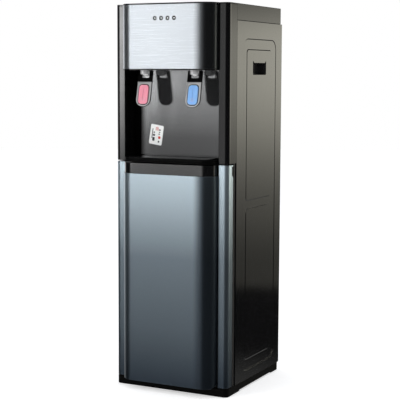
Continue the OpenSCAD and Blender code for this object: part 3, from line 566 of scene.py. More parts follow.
def turned_ring(bm, profile, centre, put, steps):
    """A turned ring: its profile is a closed loop of (radius, along)"""
    rows = []
    for i in range(steps + 1):
        c, s = math.cos(TAU * i / steps), math.sin(TAU * i / steps)
        rows.append([put(centre[0] + r * c, centre[1] + r * s, along) for r, along in profile])
    skin(bm, rows, True)
    bmesh.ops.remove_doubles(bm, verts=bm.verts, dist=MERGED)


def eased(points, radius, steps=6):
    """A path of straight runs with its corners rounded"""
    path = [Vector(points[0])]
    for before, here, after in zip(points, points[1:], points[2:]):
        before, here, after = Vector(before), Vector(here), Vector(after)
        reach = min(radius, (here - before).length * 0.49, (after - here).length * 0.49)
        first = here + (before - here).normalized() * reach
        last = here + (after - here).normalized() * reach
        for i in range(steps + 1):
            t = i / steps
            path.append(first * (1 - t) ** 2 + here * (2 * t * (1 - t)) + last * t ** 2)
    path.append(Vector(points[-1]))
    return path


def tube(bm, path, radius, sides=14, material=0):
    """A round rod along a path, with closed ends"""
    rows = []
    side = None
    for i, p in enumerate(path):
        run = (path[min(i + 1, len(path) - 1)] - path[max(i - 1, 0)]).normalized()
        if side is None:
            side = run.orthogonal().normalized()
        side = (side - run * side.dot(run)).normalized()
        up = run.cross(side)
        rows.append([p + (side * math.cos(TAU * k / sides) + up * math.sin(TAU * k / sides)) * radius
                     for k in range(sides)])
    capped(bm, rows, material)


def link(name, mesh):
    obj = bpy.data.objects.new(name, mesh)
    bpy.context.scene.collection.objects.link(obj)
    return obj


def settle(obj):
    """Makes an object's modifiers part of its mesh."""
    graph = bpy.context.evaluated_depsgraph_get()
    graph.update()
    mesh = bpy.data.meshes.new_from_object(obj.evaluated_get(graph), preserve_all_data_layers=True,
                                           depsgraph=graph)
    mesh.name = obj.name
    obj.modifiers.clear()
    old, obj.data = obj.data, mesh
    bpy.data.meshes.remove(old)
    return obj


def shaded(obj, smooth=SMOOTH):
    """Smooth shading, kept sharp where faces meet at more than an angle in degrees"""
    obj.data.shade_smooth()
    obj.data.set_sharp_from_angle(angle=math.radians(smooth))


def shaped(obj, cutters=(), joins=(), edge=0.0, segments=2, angle=30, clamp=True, smooth=SMOOTH):
    """Cuts, joins and rounds a mesh drawn in millimetres, then smooths it."""
    for other, operation in [(c, "DIFFERENCE") for c in cutters] + [(j, "UNION") for j in joins]:
        cut = obj.modifiers.new("cut", "BOOLEAN")
        cut.operation, cut.object, cut.solver = operation, other, "EXACT"
    if edge:
        bevel = obj.modifiers.new("edge", "BEVEL")
        bevel.width, bevel.segments, bevel.angle_limit = edge, segments, math.radians(angle)
        bevel.limit_method, bevel.use_clamp_overlap = "ANGLE", clamp
        bevel.miter_outer = "MITER_ARC" if clamp else "MITER_SHARP"
    settle(obj)
    for other in (*cutters, *joins):
        bpy.data.objects.remove(other)
    shaded(obj, smooth)
    even = obj.modifiers.new("even", "WEIGHTED_NORMAL")
    even.keep_sharp, even.weight = True, 60
    return settle(obj)


def solid(bm, name="cutter"):
    """An object from closed shells"""
    bmesh.ops.recalc_face_normals(bm, faces=bm.faces)
    mesh = bpy.data.meshes.new(name)
    bm.to_mesh(mesh)
    bm.free()
    return link(name, mesh)


def settled_on(obj, body, slot, replaced=(), finishes=()):
    """Puts a piece in its place on its body."""
    obj.data.transform(PLACE)
    if finishes:
        faces = obj.data.polygons
        kept = [min(face.material_index, len(finishes) - 1) for face in faces]
        obj.data.materials.clear()
        for each in finishes:
            obj.data.materials.append(finish(each))
        faces.foreach_set("material_index", kept)
    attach(obj, body)
    if replaced:
        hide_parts(*replaced)
    return obj


def piece(name, bm, replaced, finishes=(), **shape):
    """A finished piece that stands for the nodes it replaces."""
    obj = shaped(solid(bm, name), **shape)
    slot = SLOT_OF[replaced[0]]
    return settled_on(obj, BODY_OF[replaced[0]], slot, replaced, finishes or (slot,))


def merged_into(obj, others, own=None):
    """Adds other objects' faces to an object's mesh and removes them; own may add more."""
    bm = bmesh.new()
    bm.from_mesh(obj.data)
    for other in others:
        bm.from_mesh(other.data)
        bpy.data.objects.remove(other)
    if own:
        own(bm)
    bm.to_mesh(obj.data)
    bm.free()


def copy_of(node):
    """A merged copy of a node's mesh in millimetres, with its flat faces whole"""
    bm = bmesh.new()
    bm.from_mesh(NODES[node].data)
    bm.transform(PLACE.inverted())
    bmesh.ops.remove_doubles(bm, verts=bm.verts, dist=0.002)
    bmesh.ops.dissolve_degenerate(bm, edges=bm.edges, dist=0.001)
    bmesh.ops.dissolve_limit(bm, angle_limit=math.radians(0.6), verts=bm.verts, edges=bm.edges)
    return bm


def refined(node, edge=0.4, name=None, finishes=(), **shape):
    """A node's own shape with rounded edges and its finish"""
    mesh = bpy.data.meshes.new(node)
    bm = copy_of(node)
    bm.to_mesh(mesh)
    bm.free()
    obj = shaped(link(name or f"{node}_rounded", mesh), edge=edge, **shape)
    return settled_on(obj, BODY_OF[node], SLOT_OF[node], (node,), finishes or (SLOT_OF[node],))


# ---------------------------------------------------------------- node trees

class Tree:
    """A Geometry Nodes tree under construction"""

    def __init__(self, name, inputs):
        self.tree = bpy.data.node_groups.new(name, "GeometryNodeTree")
        face = self.tree.interface
        face.new_socket("Geometry", in_out="INPUT", socket_type="NodeSocketGeometry")
        face.new_socket("Geometry", in_out="OUTPUT", socket_type="NodeSocketGeometry")
        for label, kind in inputs.items():
            face.new_socket(label, in_out="INPUT", socket_type=f"NodeSocket{kind}")
        self.given = self.tree.nodes.new("NodeGroupInput").outputs

    def add(self, kind, inputs=(), wanted=0, **settings):
        node = self.tree.nodes.new(kind)
        for key, value in settings.items():
            setattr(node, key, value)
        for key, value in dict(inputs).items():
            if isinstance(value, bpy.types.NodeSocket):
                self.tree.links.new(value, node.inputs[key])
            else:
                node.inputs[key].default_value = value
        return node.outputs[wanted]

    def maths(self, operation, a, b=0.0, c=0.0):
        return self.add("ShaderNodeMath", {0: a, 1: b, 2: c}, operation=operation)

    def vector(self, x=0.0, y=0.0, z=0.0):
        return self.add("ShaderNodeCombineXYZ", {0: x, 1: y, 2: z})

    def done(self, geometry):
        """Ends the tree: instances made real, then the finish."""
        real = self.add("GeometryNodeRealizeInstances", {0: geometry})
        painted = self.add("GeometryNodeSetMaterial", {"Geometry": real, "Material": self.given["Finish"]})
        out = self.tree.nodes.new("NodeGroupOutput")
        self.tree.links.new(painted, out.inputs[0])
        return self.tree


def grown(name, tree, mesh=None, **values):
    """An object whose mesh a tree has made. Inputs are named in words, with _ for a space."""
    obj = link(name, mesh or bpy.data.meshes.new(name))
    grower = obj.modifiers.new("grower", "NODES")
    grower.node_group = tree
    by_name = {item.name: item.identifier for item in tree.interface.items_tree
               if item.item_type == "SOCKET" and item.in_out == "INPUT"}
    for key, value in values.items():
        grower[by_name[key.replace("_", " ")]] = value
    return settle(obj)


def band_tree():
    """A strip that follows the bulged front: a rounded section swept along a filleted path"""
    sizes = ("Half Width", "Bulge", "Setback", "Thickness", "Bottom", "Top", "Edge", "Foot")
    t = Tree("Bulged Band", {**dict.fromkeys(sizes, "Float"), "Finish": "Material"})
    g = t.given
    half = t.maths("SUBTRACT", g["Half Width"], g["Setback"])
    half = t.maths("SUBTRACT", half, t.maths("MULTIPLY", g["Thickness"], 0.5))
    deep = t.maths("SUBTRACT", g["Bulge"], g["Setback"])
    deep = t.maths("SUBTRACT", deep, t.maths("MULTIPLY", g["Thickness"], 0.5))
    index = t.add("GeometryNodeInputIndex")
    far = t.maths("GREATER_THAN", index, 1.5)
    side = t.maths("MULTIPLY_ADD", far, 2.0, -1.0)
    middle = t.maths("LESS_THAN", t.maths("ABSOLUTE", t.maths("SUBTRACT", index, 1.5)), 1.0)
    height = t.maths("MULTIPLY", t.maths("ADD", g["Bottom"], g["Top"]), 0.5)
    where = t.vector(t.maths("MULTIPLY", side, half),
                     t.maths("MULTIPLY", t.maths("MULTIPLY", middle, deep), -1.0), height)
    line = t.add("GeometryNodeMeshLine", {"Count": 4})
    line = t.add("GeometryNodeSetPosition", {"Geometry": line, "Position": where})
    path = t.add("GeometryNodeMeshToCurve", {0: line})
    path = t.add("GeometryNodeFilletCurve", {"Curve": path, "Radius": deep, "Limit Radius": True,
                                             "Count": 26}, mode="POLY")
    path = t.add("GeometryNodeSetCurveNormal", {"Curve": path}, mode="Z_UP")
    tall = t.maths("SUBTRACT", g["Top"], g["Bottom"])
    section = t.add("GeometryNodeCurvePrimitiveQuadrilateral", {"Width": g["Thickness"], "Height": tall})
    section = t.add("GeometryNodeFilletCurve", {"Curve": section, "Radius": g["Edge"], "Limit Radius": True,
                                                "Count": 3}, mode="POLY")
    band = t.add("GeometryNodeCurveToMesh", {"Curve": path, "Profile Curve": section, "Fill Caps": True})
    # the lower corners rise on a quarter circle towards both ends
    place = t.add("GeometryNodeInputPosition")
    x = t.add("ShaderNodeSeparateXYZ", {0: place}, "X")
    z = t.add("ShaderNodeSeparateXYZ", {0: place}, "Z")
    start = t.maths("SUBTRACT", t.maths("SUBTRACT", g["Half Width"], g["Setback"]), g["Foot"])
    past = t.maths("MINIMUM", t.maths("MAXIMUM", t.maths("SUBTRACT", t.maths("ABSOLUTE", x), start), 0.0),
                   g["Foot"])
    drop = t.maths("SQRT", t.maths("MAXIMUM", t.maths("SUBTRACT", t.maths("MULTIPLY", g["Foot"], g["Foot"]),
                                                      t.maths("MULTIPLY", past, past)), 0.0))
    rise = t.maths("SUBTRACT", g["Foot"], drop)
    low = t.maths("LESS_THAN", z, height)
    band = t.add("GeometryNodeSetPosition", {"Geometry": band, "Offset": t.vector(
        0.0, 0.0, t.maths("MULTIPLY", rise, low))})
    return t.done(band)


def repeat_tree():
    """A part set on every point of a mesh, each turned a little further about one axis"""
    t = Tree("Repeated Part", {"Part": "Object", "Turn": "Rotation", "Spread": "Float", "Seed": "Int",
                               "Finish": "Material"})
    g = t.given
    part = t.add("GeometryNodeObjectInfo", {"Object": g["Part"]}, "Geometry")
    loose = t.add("FunctionNodeRandomValue", {2: t.maths("MULTIPLY", g["Spread"], -1.0), 3: g["Spread"],
                                              "Seed": g["Seed"]}, 1)
    spin = t.add("FunctionNodeEulerToRotation", {0: t.vector(0.0, loose, 0.0)})
    turn = t.add("FunctionNodeRotateRotation", {0: g["Turn"], 1: spin})
    placed = t.add("GeometryNodeInstanceOnPoints", {"Points": g["Geometry"], "Instance": part,
                                                    "Rotation": turn})
    return t.done(placed)


def row_tree():
    """A part repeated along a straight line at a pitch"""
    t = Tree("Row Of Parts", {"Part": "Object", "Count": "Int", "Start": "Vector", "Pitch": "Vector",
                              "Finish": "Material"})
    g = t.given
    part = t.add("GeometryNodeObjectInfo", {"Object": g["Part"]}, "Geometry")
    line = t.add("GeometryNodeMeshLine", {"Count": g["Count"], "Start Location": g["Start"],
                                          "Offset": g["Pitch"]})
    return t.done(t.add("GeometryNodeInstanceOnPoints", {"Points": line, "Instance": part}))


def ring_tree():
    """A part repeated round the Y axis"""
    t = Tree("Ring Of Parts", {"Part": "Object", "Count": "Int", "Centre": "Vector", "Finish": "Material"})
    g = t.given
    part = t.add("GeometryNodeObjectInfo", {"Object": g["Part"]}, "Geometry")
    points = t.add("GeometryNodeMeshLine", {"Count": g["Count"], "Offset": (0.0, 0.0, 0.0)})
    points = t.add("GeometryNodeSetPosition", {"Geometry": points, "Position": g["Centre"]})
    angle = t.maths("DIVIDE", t.maths("MULTIPLY", t.add("GeometryNodeInputIndex"), TAU), g["Count"])
    turn = t.add("FunctionNodeEulerToRotation", {0: t.vector(0.0, angle, 0.0)})
    return t.done(t.add("GeometryNodeInstanceOnPoints", {"Points": points, "Instance": part,
                                                         "Rotation": turn}))


def coil_tree():
    """A close-wound spring of round wire"""
    t = Tree("Wound Spring", {"Turns": "Float", "Radius": "Float", "Length": "Float", "Wire": "Float",
                              "Finish": "Material"})
    g = t.given
    coil = t.add("GeometryNodeCurveSpiral", {"Resolution": 20, "Rotations": g["Turns"],
                                             "Start Radius": g["Radius"], "End Radius": g["Radius"],
                                             "Height": g["Length"]})
    wire = t.add("GeometryNodeCurvePrimitiveCircle", {"Resolution": 8, "Radius": g["Wire"]})
    return t.done(t.add("GeometryNodeCurveToMesh", {"Curve": coil, "Profile Curve": wire,
                                                    "Fill Caps": True}))


def tree(maker):
    """A node tree, made once"""
    made = TREES.get(maker.__name__)
    if made is None:
        made = TREES[maker.__name__] = maker()
    return made


TREES = {}


def repeated(name, maker, part, slot, mesh=None, **values):
    """The object that a tree makes of a part, which is then removed"""
    obj = grown(name, tree(maker), mesh, Finish=finish(slot), Part=part, **values)
    bpy.data.objects.remove(part)
    return obj


def scattered_piece(name, body, slot, replaced, part, points, **values):
    """A part set on points in millimetres, standing for the nodes it replaces"""
    mesh = bpy.data.meshes.new(name)
    mesh.from_pydata(points, [], [])
    obj = repeated(name, repeat_tree, part, slot, mesh, **values)
    shaded(obj)
    return settled_on(obj, body, slot, replaced)


# ---------------------------------------------------------------- outlines

def bulge_outline(inset, back, steps=26):
    """Outline of the bulged front, closed along y = back"""
    r = BULGE - inset
    left = arc(-FLAT, 0, r, 180, 270, steps)
    right = arc(FLAT, 0, r, 270, 360, steps)
    return [(-(HALF_B - inset), back), *left, *right, (HALF_B - inset, back)]


def channel_outline(x0, depth, inner_depth, t, small=1.6):
    """Outline of a right-hand upright channel of wall t, one large rounded corner outside"""
    outer = [(x0, inner_depth), *arc(x0 + small, small, small, 180, 270, 6),
             *arc(HALF_W - CORNER, CORNER, CORNER, 270, 360, 20), (HALF_W, depth)]
    inner = [(HALF_W - t, depth), *reversed(arc(HALF_W - CORNER, CORNER, CORNER - t, 270, 360, 20)),
             (x0 + t, t), (x0 + t, inner_depth)]
    return outer + inner


def flipped(outline, side):
    return outline if side > 0 else [(-x, y) for x, y in reversed(outline)]


# ---------------------------------------------------------------- pieces

class PartOperator:
    """What every piece's operator shares"""

    bl_options = {"REGISTER", "UNDO"}

    def execute(self, context):
        self.make(context.scene.dispenser_sizes)
        return {"FINISHED"}


class DISPENSER_OT_fascia(PartOperator, Operator):
    """Curved brushed fascia with its four lamp openings"""

    bl_idname = "dispenser.fascia"
    bl_label = "Fascia"

    def make(self, s):
        lo, hi = FASCIA
        holes = []
        for lamp in lamp_places():
            bm = bmesh.new()
            lathe(bm, [(5.15, -BULGE - 3), (5.15, -BULGE + 5)], lamp, along_y)
            holes.append(solid(bm))
        band = grown("fascia_shell", tree(band_tree), Finish=finish("fascia_silver"), Half_Width=HALF_B,
                     Bulge=BULGE, Setback=0.0, Thickness=1.5, Bottom=lo.z, Top=hi.z, Edge=0.55, Foot=0.0)
        shaped(band, holes)
        settled_on(band, BODY_OF["fascia"], SLOT_OF["fascia"], ("fascia",))


def lamp_places():
    """Middles of the lamps as (x, z)"""
    lo, hi = span("indicator_lamps")
    pitch = (hi.x - lo.x - 13) / 3
    return [((i - 1.5) * pitch, (lo.z + hi.z) / 2) for i in range(4)]


class DISPENSER_OT_lamps(PartOperator, Operator):
    """Four indicator lamps: a black bezel ring, a dished face and a small white lens"""

    bl_idname = "dispenser.lamps"
    bl_label = "Indicator Lamps"

    def make(self, s):
        bm = bmesh.new()
        front = -BULGE
        for lamp in lamp_places():
            lathe(bm, [(6.4, front + 3.2), (6.4, front + 1.8), (5.0, front + 1.7), (5.0, front + 0.35),
                       (4.7, front + 0.02), (4.2, front + 0.02), (3.6, front + 0.6), (1.9, front + 0.9),
                       (0.4, front + 0.9)], lamp, along_y)
            lathe(bm, [(1.5, front + 1.0), (1.45, front + 0.6), (1.2, front + 0.22), (0.7, front + 0.08),
                       (0.1, front + 0.05)], lamp, along_y, 24, 1)
        piece("indicator_lamp_set", bm, ("indicator_lamps",), ("lamp_black", "lamp_lens"))


class DISPENSER_OT_pillars(PartOperator, Operator):
    """The two upright pillars beside the fascia and the alcove"""

    bl_idname = "dispenser.pillars"
    bl_label = "Pillars"

    def make(self, s):
        for side, word in zip(SIDES, ("left", "right")):
            lo, hi = span(f"pillar_{word}")
            bm = bmesh.new()
            prism(bm, flipped(channel_outline(HALF_B + 0.1, hi.y, hi.y, 2.5), side), lo.z, hi.z)
            piece(f"{word}_pillar_shell", bm, (f"pillar_{word}",), edge=0.5)


class DISPENSER_OT_stiles(PartOperator, Operator):
    """The door's two metal-look stiles; the right one has a finger notch"""

    bl_idname = "dispenser.stiles"
    bl_label = "Door Stiles"

    def make(self, s):
        for side, word in zip(SIDES, ("left", "right")):
            lo, hi = span(f"door_stile_{word}")
            bm = bmesh.new()
            prism(bm, flipped(channel_outline(abs(STILE[0].x), hi.y, hi.y - 3.4, 2.2), side), lo.z, hi.z)
            cutters = []
            if side > 0:
                cut = bmesh.new()
                notch = [(hi.y + 2, 534), (hi.y - 6, 542), (hi.y - 6, 562), (hi.y + 2, 562)]
                prism(cut, notch, HALF_W - 5, HALF_W + 2, along_x)
                cutters.append(solid(cut))
            piece(f"{word}_door_stile", bm, (f"door_stile_{word}",), cutters=cutters, edge=0.55)


class DISPENSER_OT_door_skin(PartOperator, Operator):
    """Curved metal-look skin of the door and the black band above it"""

    bl_idname = "dispenser.door_skin"
    bl_label = "Door Skin"

    def make(self, s):
        lo, hi = DOOR
        band = grown("door_skin", tree(band_tree), Finish=finish("door_sheet"), Half_Width=HALF_B,
                     Bulge=BULGE, Setback=0.6, Thickness=2.7, Bottom=lo.z, Top=hi.z, Edge=0.7,
                     Foot=mm(s.foot))
        shaped(band)
        settled_on(band, BODY_OF["door_panel"], SLOT_OF["door_panel"], ("door_panel",))
        lo, hi = span("grip_band")
        bm = bmesh.new()
        prism(bm, bulge_outline(3.0, 2.0), lo.z + 0.05, hi.z)
        piece("door_grip_band", bm, ("grip_band",), ("band_black",), edge=0.6)


class DISPENSER_OT_alcove(PartOperator, Operator):
    """Alcove floor, ceiling plate, smoked mirror wall and the notice card on it"""

    bl_idname = "dispenser.alcove"
    bl_label = "Alcove"

    def make(self, s):
        lo, hi = FLOOR
        bm = bmesh.new()
        prism(bm, bulge_outline(0.3, PANEL_Y), lo.z, hi.z)
        piece("alcove_floor_plate", bm, ("alcove_floor",), ("deep_black",), edge=0.6)
        refined("tap_plate", 0.5, "ceiling_plate")
        refined("alcove_panel", 0.3, "mirror_wall", smooth=30)
        self.card(s)

    def card(self, s):
        """A plain white card with bars, a drop and a dot for print"""
        centre, w, h, t = (-62.8, 632.0), 36.0, 49.0, 0.25
        turn = Matrix.Rotation(-s.card_turn, 2)

        def put(a, b, c):
            flat = turn @ Vector((a, b))
            return (centre[0] + flat.x, PANEL_Y - c, centre[1] + flat.y)

        bm = bmesh.new()
        prism(bm, rounded(w, h, 3.4), 0.02, t, put)
        dark = [(-11.5, 2, 2.2, 24), (-6.6, -11.5, 6.4, 9.5), (-6.6, -1.5, 6.2, 5.0), (-6.8, 5.2, 4.2, 3.2),
                (8.2, 13.0, 4.6, 3.4), (8.4, 7.2, 3.6, 2.6), (7.8, 2.6, 4.6, 2.2)]
        red = [(9.2, -5.6, 6.6, 6.4), (-2.6, 14.8, 1.5, 8.6), (0.6, 15.4, 1.5, 9.4), (3.8, 14.8, 1.5, 8.6)]
        for marks, ink in ((dark, 1), (red, 2)):
            for x, z, wide, tall in marks:
                prism(bm, rounded(wide, tall, min(wide, tall) * 0.3, x, z, 4), t - 0.05, t + 0.06, put, ink)
        prism(bm, rounded(4.6, 4.6, 2.25, 8.6, -16.0, 6), t - 0.05, t + 0.06, put, 1)
        obj = shaped(solid(bm, "notice_card"), smooth=25)
        settled_on(obj, BODY_OF["alcove_panel"], "white_plastic", (), ("card_white", "ink_dark", "ink_red"))


class DISPENSER_OT_top_cover(PartOperator, Operator):
    """Top cover with a thin edge over the front and a deep skirt behind the seam"""

    bl_idname = "dispenser.top_cover"
    bl_label = "Top Cover"

    def make(self, s):
        refined("top_cover", 0.9, "top_cover_shell", clamp=False, segments=3, angle=40)


class DISPENSER_OT_side_panels(PartOperator, Operator):
    """Pressed steel sides: a sunk field, two raised fields inside it and the hand grip opening"""

    bl_idname = "dispenser.side_panels"
    bl_label = "Side Panels"

    SUNK = ((84, 280), (44.5, 868), 25)
    RAISED = (((103, 250), (473, 841), 8), ((103, 250), (73, 451), 8))

    def field(self, side, limits, low, high, low_x, high_x):
        """A field with sloped walls, grown by low at its foot and by high at its top"""
        (y0, y1), (z0, z1), r = limits
        bm = bmesh.new()
        rows = []
        for grow, x in ((low, low_x), (high, high_x)):
            outline = rounded(y1 - y0 + 2 * grow, z1 - z0 + 2 * grow, r + grow,
                              (y0 + y1) / 2, (z0 + z1) / 2, 14)
            rows.append([(side * x, y, z) for y, z in outline])
        capped(bm, rows)
        return solid(bm)

    def make(self, s):
        press, slope = mm(s.press), mm(s.slope)
        face = HALF_W - press
        for side, word in zip(SIDES, ("left", "right")):
            lo, hi = span(f"side_panel_{word}")
            bm = bmesh.new()
            t, fold, gap = 1.2 + press, 12, 0.35
            outline = [(HALF_W - fold, lo.y + gap), (HALF_W, lo.y + gap), (HALF_W, hi.y), (HALF_W - t, hi.y),
                       (HALF_W - t, REAR_Y - 1.2), (HALF_W - fold, REAR_Y - 1.2),
                       (HALF_W - fold, REAR_Y - 2.4), (HALF_W - t, REAR_Y - 2.4),
                       (HALF_W - t, lo.y + t), (HALF_W - fold, lo.y + t)]
            prism(bm, flipped(outline, side), lo.z, hi.z - gap)
            sunk = self.field(side, self.SUNK, -slope, 0.05, face, HALF_W + 0.05)
            raised = [self.field(side, limits, slope, 0, face - 0.3, HALF_W) for limits in self.RAISED]
            grip = bmesh.new()
            prism(grip, grip_outline(), side * (HALF_W - 9), side * (HALF_W + 2), along_x)
            sheet = shaped(solid(bm, f"{word}_side_sheet"), cutters=[sunk], smooth=10)
            sheet = shaped(sheet, joins=raised, smooth=10)
            shaped(sheet, [solid(grip)], edge=0.5, segments=2, angle=18, clamp=False, smooth=50)
            settled_on(sheet, BODY_OF[f"side_panel_{word}"], SLOT_OF[f"side_panel_{word}"],
                       (f"side_panel_{word}",), (SLOT_OF[f"side_panel_{word}"],))


def grip_outline():
    """Outline of a hand grip opening as (y, z), with two small ears at its top"""
    y0, y1, z0, z1, ear = 137, 217, 781, 814, 5
    return [*arc(y0 + 3, z0 + 3, 3, 180, 270, 5), *arc(y1 - 3, z0 + 3, 3, 270, 360, 5),
            (y1, z1 - 1), (y1 - 1, z1), (y1 - 3, z1), (y1 - ear, z1 - 3), (y1 - ear - 5, z1 - 4.4),
            (y0 + ear + 5, z1 - 4.4), (y0 + ear, z1 - 3), (y0 + 3, z1), (y0 + 1, z1), (y0, z1 - 1)]


class DISPENSER_OT_base(PartOperator, Operator):
    """Moulded base tray and its rubber pads"""

    bl_idname = "dispenser.base"
    bl_label = "Base"

    def make(self, s):
        refined("base_tray", 0.7, "base_moulding", ("deep_black",), clamp=False, angle=40)
        bm = bmesh.new()
        lo, hi = span("foot_pads")
        r = 13
        for x in (lo.x + r, hi.x - r):
            for y in (lo.y + r, hi.y - r):
                lathe(bm, [(4, 0.4), (10, 0.4), (10.6, 0), (r - 0.8, 0), (r, 0.7), (r, hi.z)], (x, y),
                      along_z)
        piece("rubber_feet", bm, ("foot_pads",))


class DISPENSER_OT_taps(PartOperator, Operator):
    """Two metal spouts, each with a rolled lip and the rounded body behind it"""

    bl_idname = "dispenser.taps"
    bl_label = "Taps"

    def make(self, s):
        for side, word in zip(SIDES, ("hot", "cold")):
            lo, hi = span(f"{word}_tap")
            r, bore, front = 9, 4.5, -11
            bm = bmesh.new()
            x = side * TAP_X
            lathe(bm, [(bore, hi.z), (bore, 786), (6.0, 783.2), (6.6, 781.6), (7.4, 781.0), (8.3, 781.1),
                       (8.9, 781.9), (r, 783), (r, 788.6), (8.7, 789.0), (r, 789.4), (r, hi.z)],
                  (x, front), along_z, 48)
            outline = [*arc(x, lo.z + 10, 10, 180, 360, 24), (x + 10, hi.z), (x - 10, hi.z)]
            rows = []
            for inset, y in ((1.6, hi.y), (0.5, hi.y - 0.4), (0, hi.y - 1.6), (0, front + 7.4),
                             (0.5, front + 6.2), (1.6, front + 5.8)):
                rows.append([(x + (a - x) * (10 - inset) / 10, y, lo.z + 10 + (b - lo.z - 10) *
                              ((10 - inset) / 10 if b < lo.z + 10 else 1)) for a, b in outline])
            capped(bm, rows)
            piece(f"{word}_spout", bm, (f"{word}_tap",), smooth=35)


class PadShape:
    """Width, height, corner and middle of a pad along its lever, from its node"""

    GAP = 1.5

    def __init__(self, word):
        lo, hi = span(f"{word}_pad")
        self.w, self.r = hi.x - lo.x - 2 * self.GAP, 8
        lean = math.cos(LEVER_LEAN)
        self.h = (hi.z - lo.z - 2.6 * math.sin(LEVER_LEAN)) / lean - 2 * self.GAP
        middle_y, middle_z = (lo.y + hi.y) / 2 - PIVOT[0], (lo.z + hi.z) / 2 - PIVOT[1]
        self.z = middle_z * lean + middle_y * math.sin(LEVER_LEAN) + 0.5


class DISPENSER_OT_levers(PartOperator, Operator):
    """Hot and cold levers with a framed face, and their crowned pads with a raised mark"""

    bl_idname = "dispenser.levers"
    bl_label = "Levers and Pads"

    LENGTH, TOP, WIDTH, FACE, DEPTH = 99, -11.5, 39, -5, 1.3
    FORK, SLOT, BEZEL_TOP = -29, 10.9, -39
    SEAT_GAP, FACE_EDGE = 1.9, 0.9
    MARK_DROP, MARK_Y, STROKE = 12.5, -7.2, 0.5

    def lever_place(self, side):
        lean = Matrix.Translation((side * TAP_X, *PIVOT)) @ Matrix.Rotation(-LEVER_LEAN, 4, "X")
        return lambda a, b, c: tuple(lean @ Vector((a, c, b)))

    def plate_outline(self, steps=14):
        """Face outline as (x, z): forked round the tap above, well rounded below"""
        w, r, low, notch = self.WIDTH / 2, 17, -self.LENGTH, 3
        slot, fork = self.SLOT, self.FORK + notch
        return [(w, self.TOP), (slot, self.TOP), *arc(slot - notch, fork, notch, 0, -90, 5),
                *arc(notch - slot, fork, notch, 270, 180, 5), (-slot, self.TOP), (-w, self.TOP),
                *arc(-w + r, low + r, r, 180, 270, steps), *arc(w - r, low + r, r, 270, 360, steps)]

    def make(self, s):
        for side, word in zip(SIDES, ("hot", "cold")):
            put = self.lever_place(side)
            pad = PadShape(word)
            bm = bmesh.new()
            prism(bm, self.plate_outline(), 0, self.FACE, put)
            seat = bmesh.new()
            gap = self.SEAT_GAP
            prism(seat, rounded(pad.w + 2 * gap, pad.h + 2 * gap, pad.r + gap, 0, pad.z, 12),
                  self.FACE + self.DEPTH, self.FACE - 1, put)
            plate = shaped(solid(bm, f"{word}_push_lever"), [solid(seat)], edge=1.1, segments=3, smooth=32,
                           angle=40)
            arms = copy_of(f"{word}_lever")
            cut = put(0, self.TOP + 1.0, 0)
            normal = Vector(put(0, 1, 0)) - Vector(put(0, 0, 0))
            bmesh.ops.bisect_plane(arms, geom=[*arms.verts, *arms.edges, *arms.faces], plane_co=cut,
                                   plane_no=normal, clear_inner=True)
            bmesh.ops.holes_fill(arms, edges=[e for e in arms.edges if e.is_boundary])
            mesh = bpy.data.meshes.new("arms")
            arms.to_mesh(mesh)
            arms.free()
            upper = shaped(link("arms", mesh), edge=0.4)
            merged = bmesh.new()
            merged.from_mesh(plate.data)
            brow, forward = Vector(put(0, self.BEZEL_TOP, 0)), Vector(put(0, 0, -1)) - Vector(put(0, 0, 0))
            bmesh.ops.bisect_plane(merged, geom=[*merged.verts, *merged.edges, *merged.faces], plane_co=brow,
                                   plane_no=normal)
            outer = forward.dot(Vector(put(0, 0, self.FACE)))
            for face in merged.faces:
                middle = face.calc_center_median()
                bezel = (face.normal.dot(forward) > 0.3 and normal.dot(middle - brow) < 0
                         and forward.dot(middle) > outer - self.FACE_EDGE)
                face.material_index = 0 if bezel else 1
            own = len(merged.faces)
            merged.from_mesh(upper.data)
            merged.faces.ensure_lookup_table()
            for face in merged.faces[own:]:
                face.material_index = 1
            merged.to_mesh(plate.data)
            merged.free()
            bpy.data.objects.remove(upper)
            shaded(plate, 32)
            settled_on(plate, BODY_OF[f"{word}_lever"], SLOT_OF[f"{word}_lever"], (f"{word}_lever",),
                       ("lever_grey", "deep_black"))
            self.pad(word, put, pad)

    def pad(self, word, put, pad):
        bm = bmesh.new()
        rows = []
        base = self.FACE + self.DEPTH
        for inset, y in ((0.5, base), (0, base - 0.5), (0, -6.0), (0.25, -6.7), (0.8, -7.1), (1.7, -7.3),
                         (2.7, -7.28), (3.4, -7.0), (4.2, -6.95), (6, -7.1), (9, -7.3), (12, -7.42)):
            corner = max(pad.r - inset * 0.8, 1.2)
            outline = rounded(pad.w - 2 * inset, pad.h - 2 * inset, corner, 0, pad.z, 10)
            rows.append([put(a, b, y) for a, b in outline])
        capped(bm, rows)
        strokes = []
        z = pad.z - self.MARK_DROP
        if word == "hot":
            for x in (-4.2, 0, 4.2):
                strokes.append([(x + 0.9 * math.sin(i * TAU / 8), z - 4.5 + i * 9 / 8) for i in range(9)])
        else:
            for k in range(3):
                a = math.pi * k / 3 + math.pi / 2
                strokes.append([(-5 * math.cos(a), z - 5 * math.sin(a)),
                                (5 * math.cos(a), z + 5 * math.sin(a))])
                for end in SIDES:
                    tip = (3.1 * end * math.cos(a), z + 3.1 * end * math.sin(a))
                    for lean in (-0.9, 0.9):
                        b = a + lean
                        strokes.append([tip, (tip[0] + 2 * end * math.cos(b),
                                              tip[1] + 2 * end * math.sin(b))])
        for stroke in strokes:
            tube(bm, [Vector(put(a, b, self.MARK_Y)) for a, b in stroke], self.STROKE, 8, 1)
        piece(f"{word}_push_pad", bm, (f"{word}_pad",), (SLOT_OF[f"{word}_pad"], f"mark_{word}"),
              smooth=50)


